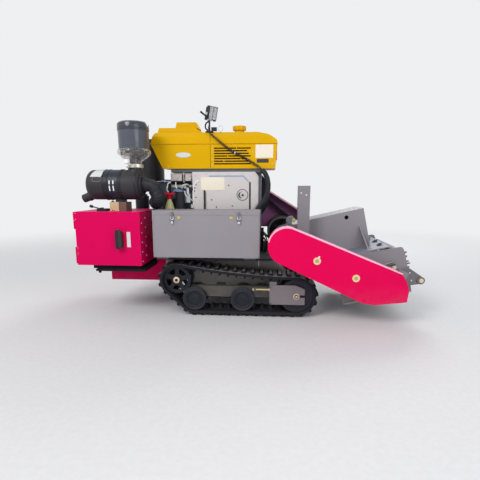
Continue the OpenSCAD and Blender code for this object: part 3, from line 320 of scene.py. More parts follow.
# Castings
CASTING = dict(metal=0.1, spots=0.06, grain=170, bump=0.16, dust=0.05)
material("engine", GRAPHITE, 0.5, vary=0.15, spots=0.1, grain=240, bump=0.16, dust=0.05)
material("alu", (0.60, 0.565, 0.555), 0.5, **CASTING)
material("case", (0.60, 0.565, 0.555), 0.5, fade=("X", 0.058, 0.0605, GRAPHITE), **CASTING)
material("head", (0.48, 0.44, 0.42), 0.5, metal=0.1, vary=0.08, spots=0.1, grain=170, bump=0.2, dust=0.05)
# Pale blue for the case panel's chamfer: a painted reflection of the sky.
material("sky_reflection", (0.30, 0.37, 0.50), 0.35, metal=0.2, vary=0.06, grain=220, bump=0.08, top=0)
# The iron's brown-grey top_color is a painted highlight on its faces that look up.
material("iron", (0.0125, 0.0135, 0.022), 0.42, metal=0.1, vary=0.15, spots=0.15, grain=200, bump=0.15,
         dust=0.08, dust_color=OILY_DIRT, top=0.7, top_color=(0.12, 0.11, 0.10), wear=0.4,
         wear_color=(0.12, 0.12, 0.13))
material("rim", (0.026, 0.027, 0.036), 0.4, metal=0.1, vary=0.15, spots=0.15, grain=200, bump=0.15, dust=0.5,
         dust_z=0.085, dust_color=(0.16, 0.14, 0.135))

# Bare and plated metal
material("steel", (0.30, 0.285, 0.27), 0.42, metal=0.85, vary=0.2, spots=0.2, grain=200, bump=0.2, dust=0.15,
         brushed=(30, 400, 30))
material("chrome", (0.70, 0.72, 0.78), 0.16, metal=1.0, grain=400, bump=0.02, dust=0.02, top=0)
material("silver", (0.60, 0.60, 0.62), 0.34, metal=0.8, vary=0.08, dust=0.05, top=0)
# Blue on the shiny domes: a painted reflection of the sky on bright metal.
material("dome_sky_reflection", (0.17, 0.22, 0.38), 0.25, metal=0.6, vary=0.1, bump=0.03, top=0.2,
         top_color=(0.32, 0.38, 0.52))
material("zinc", (0.72, 0.58, 0.38), 0.38, metal=0.4, vary=0.10, top=0)
material("rod", (0.66, 0.55, 0.26), 0.4, metal=0.2, vary=0.08, dust=0.0, top=0)
material("copper", (0.17, 0.10, 0.075), 0.5, metal=0.3, vary=0.12, grain=240, bump=0.1, dust=0.04)
material("tag", (0.56, 0.44, 0.13), 0.42, metal=0.15, bump=0.03)
GUARD_BOLTS = [Vector(unit(x, -540, z)) * MM for x, z in ((157, -124), (362, -276))]
material("washer", (0.84, 0.62, 0.38), 0.42, metal=0.2, vary=0.06, dust=0.0, top=0,
         heads=(GUARD_BOLTS, 0.0115, (0.45, 0.40, 0.18)))

# Rubber, plastic, wood and blank labels
# The rubber's pale grey-brown top_color on the lugs above 190 mm is wear and a painted highlight, brightened
# against the box's shade.
material("rubber", (0.013, 0.0125, 0.018), 0.74, vary=0.2, spots=0.2, grain=190, bump=0.25, dust=0.15,
         dust_z=0.10, dust_color=OILY_DIRT, top=0.9, top_color=(0.34, 0.32, 0.31), top_z=0.19, spec=0.2)
material("hose", (0.016, 0.017, 0.022), 0.52, vary=0.12, grain=260, bump=0.10)
material("plastic", (0.030, 0.028, 0.033), 0.5, vary=0.12, grain=260, bump=0.08)
material("smoke", (0.060, 0.068, 0.090), 0.20, coat=0.5, vary=0.14, bump=0.02, dust=0.0, brushed=(1, 1, 30))
# The lid's paler top_color is a painted highlight on its upper faces.
material("lid", (0.040, 0.044, 0.058), 0.25, coat=0.3, vary=0.10, bump=0.03, dust=0.02, top=0.3,
         top_color=(0.07, 0.08, 0.11))
material("bottle", (0.74, 0.72, 0.33), 0.42, vary=0.10, spots=0.1, grain=200, dust=0.04)
material("birch", (0.60, 0.46, 0.26), 0.6, vary=0.10, spots=0.08, grain=200, bump=0.06)
material("white", (0.82, 0.81, 0.80), 0.5, vary=0.04, bump=0.04, top=0)
material("cream", (0.80, 0.73, 0.60), 0.5, bump=0.04, dust=0.04, top=0)
material("label", (0.62, 0.66, 0.66), 0.5, vary=0.04, bump=0.02, top=0)
clear("lens", (0.80, 0.84, 0.88), 0.06, 0.5)
# The bowl's warm cream tint is painted: it stands for cream surroundings seen through the clear plastic.
clear("bowl", (0.88, 0.83, 0.72), 0.06, 0.9, 0.40)


# Shapes
class Piece:
    """One mesh of one material that rides on one body, in place of a CAD node where it names one."""
    made = []

    def __init__(self, name, slot, mat, bevel=0.0, segments=2, body="chassis", replaced=None):
        self.name, self.body, self.slot, self.mat = name, body, slot, mat
        self.bevel, self.segments, self.replaced = bevel, segments, replaced
        self.bm = bmesh.new()
        self.made.append(self)

    def point(self, place):
        return self.bm.verts.new(Vector(place) * MM)

    def box(self, lo, hi, turn=None, at=(0, 0, 0)):
        """A box between two corners, which is then turned about the origin and moved to at."""
        middle = Vector([(a + b) / 2 for a, b in zip(lo, hi)]) * MM
        size = [abs(b - a) * MM for a, b in zip(lo, hi)]
        made = bmesh.ops.create_cube(self.bm, size=1)["verts"]
        matrix = Matrix.Translation(middle) @ Matrix.Diagonal((*size, 1))
        if turn is not None:
            matrix = Matrix.Translation(Vector(at) * MM) @ turn.to_4x4() @ matrix
        bmesh.ops.transform(self.bm, matrix=matrix, verts=made)
        return self

    def unit_box(self, lo, hi):
        """A box in the milling unit's own level frame."""
        return self.box(lo, hi, TILT, PIVOT)

    def cyl(self, a, b, r, r2=None, n=28):
        """A round bar or cone from a to b."""
        a, b = Vector(a) * MM, Vector(b) * MM
        along = b - a
        made = bmesh.ops.create_cone(self.bm, cap_ends=True, segments=n, radius1=r * MM,
                                     radius2=(r if r2 is None else r2) * MM, depth=along.length)["verts"]
        matrix = Matrix.Translation((a + b) / 2) @ along.to_track_quat("Z", "Y").to_matrix().to_4x4()
        bmesh.ops.transform(self.bm, matrix=matrix, verts=made)
        return self

    def skin(self, rings):
        """Faces between neighbouring rings of points; a ring that is one point closes to a tip."""
        for a, b in zip(rings, rings[1:]):
            for k in range(len(a)):
                k2 = (k + 1) % len(a)
                face = list(dict.fromkeys((a[k], a[k2], b[k2], b[k])))
                if len(face) > 2:
                    self.bm.faces.new(face)

    def lathe(self, at, axis, profile, n=56):
        """A turned shape; profile holds (distance along axis, radius) in order."""
        turn = Vector(axis).to_track_quat("Z", "Y")
        at = Vector(at)
        rings = []
        for along, r in profile:
            ring = [self.point(turn @ Vector((r * cos(t), r * sin(t), along)) + at)
                    for t in turns(n if r else 1)]
            rings.append(ring if r else ring * n)
        self.skin(rings)
        return self

    def band(self, at, axis, start, end, inner, outer, n):
        """A hoop round something, open towards it."""
        return self.lathe(at, axis, [(start, inner), (start, outer), (end, outer), (end, inner)], n)

    def tube(self, pts, r, n=14, ribs=0, rib=0.0, steps=8):
        """Round bar along a smooth line; r is one radius or one for each point."""
        radii = list(r) if isinstance(r, (list, tuple)) else [r] * len(pts)
        pts = [Vector(p) * MM for p in pts]
        line = []
        for i in range(len(pts) - 1):
            p0, p1, p2, p3 = pts[max(i - 1, 0)], pts[i], pts[i + 1], pts[min(i + 2, len(pts) - 1)]
            for k in range(steps):
                t = k / steps
                p = 0.5 * ((2 * p1) + (p2 - p0) * t + (2 * p0 - 5 * p1 + 4 * p2 - p3) * t * t
                           + (3 * p1 - p0 - 3 * p2 + p3) * t ** 3)
                line.append((p, radii[i] + (radii[i + 1] - radii[i]) * t))
        line.append((pts[-1], radii[-1]))
        side = None
        rings = []
        for i, (p, radius) in enumerate(line):
            ahead = (line[min(i + 1, len(line) - 1)][0] - line[max(i - 1, 0)][0]).normalized()
            side = ahead.orthogonal() if side is None else side - ahead * side.dot(ahead)
            side.normalize()
            other = ahead.cross(side)
            radius *= MM * (1 + rib * sin(2 * pi * ribs * i / len(line)))
            rings.append([self.bm.verts.new(p + radius * (cos(t) * side + sin(t) * other))
                          for t in turns(n)])
        self.skin(rings)
        self.bm.faces.new(rings[0][::-1])
        self.bm.faces.new(rings[-1])
        return self

    def bolt(self, at, out, r=9.0, h=6.0):
        """Hexagon head on a washer, standing out of a face along out."""
        at, out = Vector(at), Vector(out).normalized()
        self.cyl(at, at + out * h * 0.28, r * 1.45, n=24)
        self.cyl(at + out * h * 0.2, at + out * h, r, r * 0.94, n=6)
        return self

    def bolts(self, places, out, r, h):
        for place in places:
            self.bolt(place, out, r, h)
        return self

    def screws(self, places, out, r=3.2, h=1.8):
        """Small round heads."""
        for place in places:
            self.cyl(place, Vector(place) + Vector(out) * h, r, r * 0.8, n=14)
        return self

    def plate(self, outline, lo, hi):
        """Flat outline in X and Z between two values of Y."""
        a, b = [[self.point((x, y, z)) for x, z in outline] for y in (lo, hi)]
        self.bm.faces.new(a)
        self.bm.faces.new(b[::-1])
        for k in range(len(outline)):
            k2 = (k + 1) % len(outline)
            self.bm.faces.new((a[k], b[k], b[k2], a[k2]))
        return self

    def finish(self):
        """Turns the shapes so far into an object."""
        bmesh.ops.recalc_face_normals(self.bm, faces=self.bm.faces)
        mesh = bpy.data.meshes.new(self.name)
        self.bm.to_mesh(mesh)
        self.bm.free()
        ob = placed(self.name, mesh)
        mesh.materials.append(materials[self.mat])
        dress(ob, self.bevel, self.segments)
        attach(ob, self.body)
        if self.replaced:
            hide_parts(self.replaced)


def block(name, slot, mat, bevel, lo, hi, segments=2, body="chassis"):
    """A piece that is one block or plate with rounded edges."""
    Piece(name, slot, mat, bevel, segments, body).box(lo, hi)


def dress(ob, width, segments):
    """Smooth shading with rounded edges, or with sharp ones where width is 0."""
    crease = radians(32)
    for p in ob.data.polygons:
        p.use_smooth = True
    if width > 0:
        edge = ob.modifiers.new("edge", "BEVEL")
        edge.width = width * MM
        edge.segments = segments
        edge.limit_method = "ANGLE"
        edge.angle_limit = crease
        edge.harden_normals = True
        edge.use_clamp_overlap = True
    else:
        ob.data.set_sharp_from_angle(angle=crease)


# Finish of the CAD nodes
def zone(mat, x=(-ALL, ALL), y=(-ALL, ALL), z=(-ALL, ALL)):
    """A box of space, as (low corner, high corner), and the material inside it."""
    return (*zip(x, y, z), mat)


def look(name, mat, width=1.2, segments=2, zones=(), rule=None):
    """Finish of a CAD node. The last zone round a face gives its material, and rule may name another."""
    mesh = nodes[name].data
    mesh.materials.clear()
    used = [mat]
    for p in mesh.polygons:
        inside = [other for lo, hi, other in zones
                  if all(a * MM <= c <= b * MM for a, c, b in zip(lo, p.center, hi))]
        key = (rule and rule(p)) or ([mat] + inside)[-1]
        if key not in used:
            used.append(key)
        p.material_index = used.index(key)
    for key in used:
        mesh.materials.append(materials[key])
    dress(nodes[name], width, segments)


# The far belt guard's inside is a darker magenta, as painted shade, and its edge a pale pink, as a painted
# highlight
GUARD_BACK, GUARD_RIM = 0.43, 0.533
guard = nodes["far_guard"].data.polygons
guard_middle = sum((p.center for p in guard), Vector()) / len(guard)


def guard_painted_light(p):
    """The far guard's faces that look inwards or towards the near side: painted shade inside, painted
    highlight on the edge.
    """
    from_middle = p.center - guard_middle
    inward = p.normal.x * from_middle.x + p.normal.z * from_middle.z < 0
    near = p.normal.y < -0.9
    if near and p.center.y > GUARD_BACK:
        return "magenta_shaded"
    if abs(p.normal.y) < 0.5 and inward and p.center.y < GUARD_RIM:
        return "magenta_shaded"
    return "pink_highlight" if near else None


# Above 330 mm the chassis frame is near black: painted shade.
look("chassis_frame", "frame", 1.5, zones=[zone("pitch", x=(-ALL, -560)), zone("pitch", z=(330, ALL))])
look("tail_frame", "cabinet")
look("track_frames", "beam", 1.5)
look("sprockets", "iron", 1.5)
look("rollers", "iron", 2.5, 3)
look("tensioners", "taupe", zones=[zone("rod", x=(40, 142), z=(178.5, 191.5))])
for side in ("near", "far"):
    look("track_" + side, "rubber", 0)
    # Below 402 mm the boxes take the frame paint, which is near black above 360 mm: painted shade.
    look("side_box_" + side, "grey", 1.0, zones=[zone("frame", z=(0, 402))])
    # The latch straps that stand out past 430.5 mm take the darker taupe: painted shade on the doors' grey.
    look("side_door_" + side, "grey", 0.8, zones=[zone("taupe", y=(-ALL, -430.5), z=(620, ALL)),
                                                  zone("taupe", y=(430.5, ALL), z=(620, ALL)),
                                                  zone("frame", z=(0, 403.5))])
look("cabinet_body", "cabinet")
look("cabinet_door", "cabinet", 1.2, 3, [zone("black", x=(-ALL, -700), y=(-ALL, -443), z=(440, 600))])
look("cabinet_tray", "pitch", 1.5)
look("hydraulic_tank", "cabinet", 3.0, 3, [zone("black", z=(634, ALL))])
look("engine_block", "engine", 2.5, 3)
look("gear_case", "case", 2.0, 3)
look("cylinder_head", "head", 2.5, 3, [zone("engine", x=(-ALL, -552)),
                                       zone("engine", x=(-ALL, -400), z=(0, 862))])
# The hood's inside faces behind the louvres are near black: painted shade.
look("radiator_shroud", "yellow", 6.0, 4, [zone("dark", x=(-300, 60), y=(-149, 149), z=(995, 1125))])
look("fuel_tank", "yellow", 7.0, 4)
look("muffler", "black", 3.0, 3)
look("filter_bracket", "black")
look("fuel_filter", "black", 2.0, 3)
look("control_valve", "black", 1.0)
look("drain_hose", "hose", 0)
look("lamp_cable", "hose", 0)
sheath = nodes["lamp_cable"].modifiers.new("sheath", "DISPLACE")
sheath.strength = 3 * MM
sheath.mid_level = 0
look("post", "steelgrey", 1.0)
look("far_guard", "magenta", 1.0, zones=[zone("zinc", y=(534.5, ALL))], rule=guard_painted_light)
look("engine_belts", "hose", 0.8)
look("flywheel", "iron", 3.0, 3)
look("jackshaft", "iron", 1.5)
# The housing's faces that look up take the bluer grey, a painted reflection of the sky.
look("mill_housing", "steelgrey", 1.5, rule=lambda p: "deck" if p.normal.z > 0.9 else None)
# The tow arm past X 1000 takes the darker arm grey: painted shade on the sides' grey.
look("mill_sides", "steelgrey", 1.5, zones=[zone("arm", x=(1000, ALL))])
look("lift_beam", "grey", 1.5)
look("belt_guard", "magenta", 4.0, 4, [zone("washer", y=(-ALL, -534.5))])
look("drum_belts", "hose", 0.8)
look("milling_drum", "steel", 0.8)
look("ram_barrel", "black", 1.5)
look("ram_rod", "chrome", 0.6)

# Air filter: shell, bands, spout, clips and blank label
SHELL = 96
CUP_LO, CUP_HI = corners("precleaner")
CUP_X, FILTER_Y = [(a + b) / 2 for a, b in zip(CUP_LO[:2], CUP_HI)]
FILTER_X, FILTER_Z = -1051, 862
FILTER = (FILTER_X, FILTER_Y, FILTER_Z)
FILTER_END = corners("air_filter")[1][0]


def on_shell(x, angle, out):
    """A point out from the filter's near side, at an angle up from its axis."""
    r = SHELL + out
    return (x, FILTER_Y - r * cos(angle), FILTER_Z + r * sin(angle))


Piece("filter_sleeve", "black_paint", "navy").lathe(
    FILTER, RIGHT, [(150, 95), (152, 97), (221, 97), (223, 95)], 80)
Piece("filter_shell", "black_paint", "plastic", replaced="air_filter").lathe(FILTER, RIGHT, [
    (0, 0), (0, 64), (2, 71), (8, 80), (17, 89), (28, 94.5), (34, SHELL), (334, SHELL), (342, 92), (348, 85),
    (350, 78), (351, 70), (360, 69), (360, 0)], 80)
bands = Piece("filter_bands", "black_paint", "black")
for a, b in ((117, 155), (218, 240)):
    bands.lathe(FILTER, RIGHT, [(a, 94), (a, 98.5), (a + 3, 100), (a + 7, 100), (a + 9, 98), (b - 9, 98),
                                (b - 7, 100), (b - 3, 100), (b, 98.5), (b, 94)], 80)
bands.lathe(FILTER, RIGHT, [(326, 94), (326, 98), (330, 99), (336, 98), (336, 90)], 80)
Piece("dust_spout", "black_paint", "plastic").lathe((FILTER_X + 49, FILTER_Y, FILTER_Z - 54), (-88, 0, -33), [
    (0, 0), (0, 31), (50, 29), (54, 31), (62, 31), (66, 28), (104, 27), (106, 25), (106, 20), (86, 16),
    (86, 0)], 36)
clips = Piece("filter_clips", "black_paint", "white", 0.6)
for x in (-881, -856):
    for z0, z1 in ((822, 855), (865, 889)):
        half = (z1 - z0) / 2
        angle = asin((z0 + half - FILTER_Z) / (SHELL + 5))
        clips.box((-3.5, -2.2, -half), (3.5, 2.2, half), spin(-angle, "X"), on_shell(x, angle, 2))
WIRE = [(-994, 896), (-988, 906), (-964, 910), (-934, 903), (-930, 890), (-958, 880), (-988, 884)]
Piece("filter_wire", "black_paint", "taupe").tube(
    [on_shell(x, asin((z - FILTER_Z) / (SHELL + 2)), 2) for x, z in WIRE + WIRE[:1]], 2.0, 8)
label = Piece("filter_label", "black_paint", "label")
LABEL_STEPS = 8
rows = [[label.point(on_shell(x + 22 * k / LABEL_STEPS, radians(31 + 42 * k / LABEL_STEPS), 0.6))
         for x in (-1012, -940)] for k in range(LABEL_STEPS + 1)]
for a, b in zip(rows, rows[1:]):
    label.bm.faces.new((a[0], a[1], b[1], b[0]))
Piece("filter_neck", "black_paint", "plastic").lathe((CUP_X, FILTER_Y, FILTER_Z), UP, [
    (60, 0), (60, 56), (84, 50), (94, 46), (100, 44), (106, 44), (106, 0)], 48)

# Precleaner on the filter's neck
CUP = (CUP_X, FILTER_Y, CUP_LO[2])


def cup_part(name, mat, profile, n=72, replaced=None):
    return Piece(name, "smoke_plastic", mat, replaced=replaced).lathe(CUP, UP, profile, n)


cup_part("precleaner_cup", "smoke", [
    (116, 0), (116, 95), (128, 96), (232, 97.5), (234, 96), (234, 0)], replaced="precleaner")
cup_part("precleaner_lid", "lid", [
    (231, 97), (231, 100), (238, 100.5), (240, 98.5), (243, 98.5), (245, 100), (266, 99), (276, 95),
    (284, 84), (289, 50), (290, 0)])
cup_part("precleaner_bowl", "bowl", [
    (30, 42), (44, 50), (62, 78), (80, 99), (94, 106.5), (104, 106.5), (120, 98), (120, 95), (104, 103.5),
    (94, 103.5), (80, 96), (62, 75), (46, 47), (30, 39)])
core = cup_part("precleaner_core", "smoke", [
    (26, 0), (26, 36), (58, 36), (60, 30), (66, 30), (110, 62), (118, 88), (118, 0)], 48)
for t in turns(10):
    core.box((40, -1.5, 84), (88, 1.5, 116), spin(t, "Z"), CUP)
clamp = Piece("precleaner_clamp", "smoke_plastic", "silver", 0.5).band(CUP, UP, 2, 24, 44, 53.5, 56)
for degrees, w in ((35, 9), (-30, 7)):
    clamp.box((-w, -66, 4), (w, -53, 22), spin(radians(degrees), "Z"), CUP)
lug = Piece("clamp_lug", "smoke_plastic", "tag", 0.8)
lug.box((-16, -58, 5), (16, -53.5, 21), spin(radians(28), "Z"), CUP)
lug.bolt((CUP_X + 30, FILTER_Y - 50, CUP[2] + 13), (0.5, -0.87, 0), 5, 5)
KNOB_Y = FILTER_Y - 70
knob = Piece("precleaner_knob", "smoke_plastic", "white", 2.5, 3)
knob.cyl((-768, KNOB_Y, 993), (-768, KNOB_Y, 1020), 18)
knob.cyl((-768, KNOB_Y, 976), (-768, KNOB_Y, 994), 10)
knob.cyl((-764, FILTER_Y - 62, 990), (-752, FILTER_Y - 40, 990), 8)

# Intake hose
ELBOW = (-611, FILTER_Y, 822)
Piece("intake_boot", "hose_rubber", "hose", replaced="intake_hose").tube(
    [(x, FILTER_Y, z) for x, z in ((FILTER_END, FILTER_Z), (-668, 860), (-642, 857), (-621, 846))] + [ELBOW],
    (48, 43, 41, 42, 43), 36)
Piece("intake_duct", "hose_rubber", "hose").tube(
    [(-614, FILTER_Y, 828), (-603, FILTER_Y, 806), (-597, -299, 784), (-599, -289, 763), (-611, -264, 750),
     (-626, -236, 747)], (43, 46, 46, 45, 44, 43), 36, ribs=12, rib=0.025, steps=10)
# The boot's ribs are a paler, bluer grey than the hose: painted highlight lines along them.
cuffs = Piece("boot_ribs", "hose_rubber", "slate")
for x, r in ((-680, 47), (-669, 45), (-658, 44)):
    cuffs.lathe((x, FILTER_Y, FILTER_Z - 1), (1, 0, -0.08), [(-1.6, r - 4), (-1, r), (1, r), (1.6, r - 4)],
                48)
clamps = Piece("hose_clamps", "hose_rubber", "iron", 0.4)
clamps.band(ELBOW, (0.35, 0, -0.94), -4, 4, 42, 47, 48)
clamps.band((FILTER_END + 4, FILTER_Y, FILTER_Z), RIGHT, 0, 7, 46, 51, 48)
clamps.band((-626, -250, 747), FAR, 0, 9, 42, 47.5, 48)
clamps.box((-575, FILTER_Y - 22, 828), (-562, FILTER_Y - 8, 850))

# Mount block under the filter, and the control lever
MOUNT_Z = corners("cabinet_body")[1][2] + 0.2
MOUNT_NEAR, MOUNT_FAR = FILTER_Y - 62, FILTER_Y + 40
block("mount_block", "grey_paint", "birch", 1.5, (-902, MOUNT_NEAR, MOUNT_Z), (-841, MOUNT_FAR, 752))
# The brown block to its right stands in for the mount block's right side in shade: painted shade.
block("mount_block_shaded_side", "grey_paint", "copper", 1.5, (-840.4, MOUNT_NEAR, MOUNT_Z), (-791, MOUNT_FAR, 752))
studs = Piece("mount_studs", "grey_paint", "iron")
studs.screws([(x, MOUNT_NEAR, 699) for x in (-884, -872)], NEAR, 3.4, 1.5)
studs.bolt((-893, FILTER_Y - 30, 752), UP, 7, 8)
lever = Piece("lever_ball", "black_paint", "plastic")
lever.lathe((-1029, -350, 724), UP, [(-9, 0), (-8, 4), (-5, 7.6), (0, 9.2), (5, 7.6), (8, 4), (9, 0)], 20)
lever.cyl((-962, -372, 709), (-962, -328, 709), 7)

# Hood: seams, louvres, reflectors and blank plates
HOOD = corners("radiator_shroud")[1][1]
LOUVRE_Z, LOUVRE_STEP = 1000, 17
HOOD_SCREWS = [(-256, 1120), (-256, 1078), (-256, 1030), (-256, 990), (18, 1080), (18, 1006), (150, 1000),
               (166, 1012), (-640, 1118), (-560, 984)]
seams = Piece("hood_seams", "yellow_paint", "dark")
# Near-black plates in the louvre openings: painted shade inside them.
slots = Piece("louvre_slots", "yellow_paint", "dark")
lips = Piece("louvre_lips", "yellow_paint", "yellow", 0.6)
reflectors = Piece("side_reflector", "yellow_paint", "red", 1.0)
screws = Piece("hood_screws", "yellow_paint", "silver")
for s in SIDES:
    for y, z0, z1 in ((HOOD + 3.1, 1142, 1188), (HOOD + 0.1, 974, 1133)):
        seams.box((-269.2, s * y, z0), (-267.2, s * (y + 0.5), z1))
    for k in range(7):
        z = LOUVRE_Z + LOUVRE_STEP * k
        x = 5 - 12 * (k % 3)
        slots.box((-242, s * (HOOD - 1), z - 1.5), (x, s * (HOOD + 0.3), z + 7))
        lips.box((-243, s * (HOOD - 1), z + 7), (x + 1, s * (HOOD + 2), z + 9.5))
    for x, k in ((-176, 1), (-150, 3), (-120, 5), (-60, 2), (-90, 6)):
        z = LOUVRE_Z + LOUVRE_STEP * k
        lips.box((x - 3, s * (HOOD - 1), z - 2), (x + 3, s * (HOOD + 1), z + 8))
    reflectors.box((176, s * (HOOD - 14), 1024), (181, s * (HOOD - 1), 1116))
    screws.screws([(x, s * (HOOD - 0.2), z) for x, z in HOOD_SCREWS], (0, s, 0), 4, 2.4)
PLATE_BACK = 0.2 - HOOD
block("hood_sign", "yellow_paint", "cream", 0.5, (37, -HOOD - 1.4, 1040), (156, PLATE_BACK, 1127))
block("hood_label", "yellow_paint", "slate", 0.4, (46, -HOOD - 1, 1009), (126, PLATE_BACK, 1034))
Piece("hood_badge", "yellow_paint", "label", 0.8).plate(
    [(-454 + 52 * cos(t), 1062 + 17 * sin(t)) for t in turns(40)], -HOOD - 1.6, PLATE_BACK)

# Work lamp: its own frame looks along X
LAMP = Vector((-262, -120, 1336))
AIM = spin(radians(-38), "Z") @ spin(radians(14), "Y")
lamp = Piece("lamp_case", "black_plastic", "plastic", 3.0, 3, replaced="work_lamp")
lamp.box((-8, -37, -43), (12, 37, 43), AIM, LAMP)
for k in range(9):
    y = -30 + 7.2 * k
    lamp.box((-26, y, -34), (-8, y + 2.5, 34), AIM, LAMP)
lamp.box((-12, -32, -36), (-6, 32, 36), AIM, LAMP)
mirror = Piece("lamp_reflector", "black_plastic", "chrome", 0.8)
mirror.box((12, -33, -39), (13, 33, 39), AIM, LAMP)
for k in range(4):
    for s in SIDES:
        bulb = LAMP + AIM @ Vector((13, s * 16, -29 + k * 19.5))
        mirror.lathe(bulb, AIM @ Vector(RIGHT), [(0, 3), (1, 7), (3.2, 9)], 20)
Piece("lamp_lens", "black_plastic", "lens", 1.0).box((16.5, -35, -41), (18, 35, 41), AIM, LAMP)
rim = Piece("lamp_rim", "black_plastic", "plastic", 1.0)
for y0, y1, z0, z1 in ((-37, -34, -43, 43), (34, 37, -43, 43), (-37, 37, -43, -40), (-37, 37, 40, 43),
                       (-1.5, 1.5, -40, 40)):
    rim.box((12, y0, z0), (19, y1, z1), AIM, LAMP)
bracket = Piece("lamp_bracket", "black_plastic", "black", 1.0)
for s in SIDES:
    bracket.box((-14, s * 40 - 1.5, -46), (10, s * 40 + 1.5, 6), AIM, LAMP)
bracket.box((-14, -41, -50), (10, 41, -46), AIM, LAMP)
bracket.cyl((-276, -120, 1212), (-276, -120, 1288), 6)
bracket.box((-302, -134, 1212), (-250, -106, 1219))
bracket.cyl((-280, -130, 1300), (-334, -130, 1345), 4, 7)
bracket.tube([(-276, -124, 1284), (-298, -128, 1268), (-302, -128, 1240), (-284, -130, 1222)], 5)
bracket.box((-262, -136, 1219), (-226, -112, 1243))
knobs = Piece("lamp_knobs", "black_plastic", "silver")
for s in SIDES:
    knobs.bolt(LAMP + AIM @ Vector((0, s * 41, -8)), AIM @ Vector((0, s, 0)), 7, 7)
knobs.bolt((-292, -120, 1219), UP, 5, 5)
knobs.lathe((-200, -128, 1236), NEAR, [(-3, 15), (-3, 20), (3, 20), (3, 15), (-3, 15)], 28)
knobs.cyl((-200, -128, 1211), (-200, -128, 1220), 4)
Piece("cable_tie", "black_plastic", "silver").band((-100, -161.3, 1074), (48, 0, -28), -4, 4, 7.5, 9.6, 20)

# Fuel cap
CAP = (-82, 0, 1239)
cap = Piece("cap_grip", "yellow_paint", "yellow", 2.0, 3)
for t in turns(12):
    cap.box((-4, 38, 0), (4, 47, 26), spin(t, "Z"), CAP)
cap.box((-30, -6, 26), (30, 6, 32), spin(radians(20), "Z"), CAP)

# Engine's near side: cover, panel and their fittings
COVER, PANEL = -151, -155
BOSS_X, BOSS_Z = -50, 795
Piece("case_cover", "cast_aluminium", "case", 1.5).plate(
    [(-395, 600), (-395, 942), (25, 942), (58, 908), (58, 731), (30, 702), (30, 600)], COVER, -143.9)
Piece("case_panel", "cast_aluminium", "alu", 1.2).plate(
    [(-350, 600), (-350, 931), (-280, 931), (-274, 926), (-44, 926), (-5, 887), (-5, 600)],
    PANEL, COVER + 0.1)
# The panel's upper chamfer is pale blue: a painted reflection of the sky.
Piece("panel_edge_reflection", "cast_aluminium", "sky_reflection", 0.8).plate(
    [(-280, 926), (-44, 926), (-5, 887), (-13, 884), (-47, 916), (-280, 916)], PANEL - 1.2, PANEL + 0.1)
# A dark strip on the panel's right side: painted shade of the side that faces away from the light.
block("panel_side_shade", "cast_aluminium", "slate", 0.5, (-5, COVER - 0.8, 600), (7, COVER + 0.1, 882))
Piece("case_rim", "cast_aluminium", "white", 0.5).tube([(x, COVER, z) for x, z in (
    (-348, 893), (-362, 884), (-377, 868), (-388, 845), (-392, 797), (-390, 705))], 4.5, 10)
bolts = Piece("engine_bolts", "cast_aluminium", "silver")
bolts.bolts([(x, COVER, 938) for x in (-300, -220, -145, -54)], NEAR, 6, 6)
bolts.bolts([(x, COVER, z) for x, z in ((46, 880), (46, 800), (46, 740), (-382, 930))], NEAR, 6, 6)
bolts.bolts([(-675, y, z) for z in (700, 760, 820) for y in (-100, -20, 50)], LEFT, 7, 8)
# Dark discs for open holes in the cover and panel: painted shade inside the holes.
holes = Piece("case_holes", "cast_aluminium", "slate")
holes.screws([(x, COVER, z) for x, z in ((-371, 864), (-379, 842), (-382, 821), (-373, 778))], NEAR, 5, 1.2)
holes.screws([(x, PANEL, z) for x, z in ((-145, 859), (-263, 761), (-120, 720), (-230, 712))], NEAR, 5, 1.2)
block("engine_plate", "cast_aluminium", "cream", 0.6, (-336, PANEL - 2, 827), (-172, PANEL + 0.1, 914))
Piece("plate_rivets", "cast_aluminium", "silver").screws(
    [(x, PANEL - 2, z) for x in (-330, -178) for z in (833, 908)], NEAR, 3, 1.6)
Piece("boss_ring", "cast_aluminium", "arm").lathe(
    (BOSS_X, PANEL, BOSS_Z), NEAR, [(-1, 40), (0.8, 40), (0.8, 33), (-1, 33)], 48)
boss = Piece("boss_shade", "cast_aluminium", "slate")
arc = around(BOSS_X, BOSS_Z, 24, (1.9, 2.3, 2.7, 3.1, 3.5, 3.9, 4.3, 4.6))
boss.tube([(x, PANEL, z) for x, z in arc], [1, 3.5, 5, 5.5, 5.5, 5, 3.5, 1], 10)
boss.cyl((-49, PANEL - 5, 794), (-49, PANEL - 5.6, 794), 8, n=24)
boss.lathe((-22, PANEL, 797), NEAR, [(0, 0), (0, 5), (2, 5), (2, 0)], 6)
block("dip_rod", "black_paint", "black", 0.8, (-316, -166, 560), (-305, -156.5, 826))

# Cylinder head, injection pump and fuel filter
HEAD, HEAD_BACK, BEHIND = -148, -143.5, -131
head = Piece("head_covers", "cast_aluminium", "head", 3.0, 3)
head.box((-544, HEAD, 890), (-468, HEAD_BACK, 932))
head.box((-445, HEAD, 890), (-404, HEAD_BACK, 932))
head.box((-458, HEAD - 1, 878), (-452, HEAD_BACK, 948))
head.lathe((-516, HEAD, 911), NEAR, [(0, 21), (3, 20), (4, 16), (3, 0)], 32)
head.box((-545, -138, 846), (-404, -130.5, 862))
head.bolts([(-538, HEAD, 926), (-412, HEAD, 926), (-412, HEAD, 897)], NEAR, 5, 5)
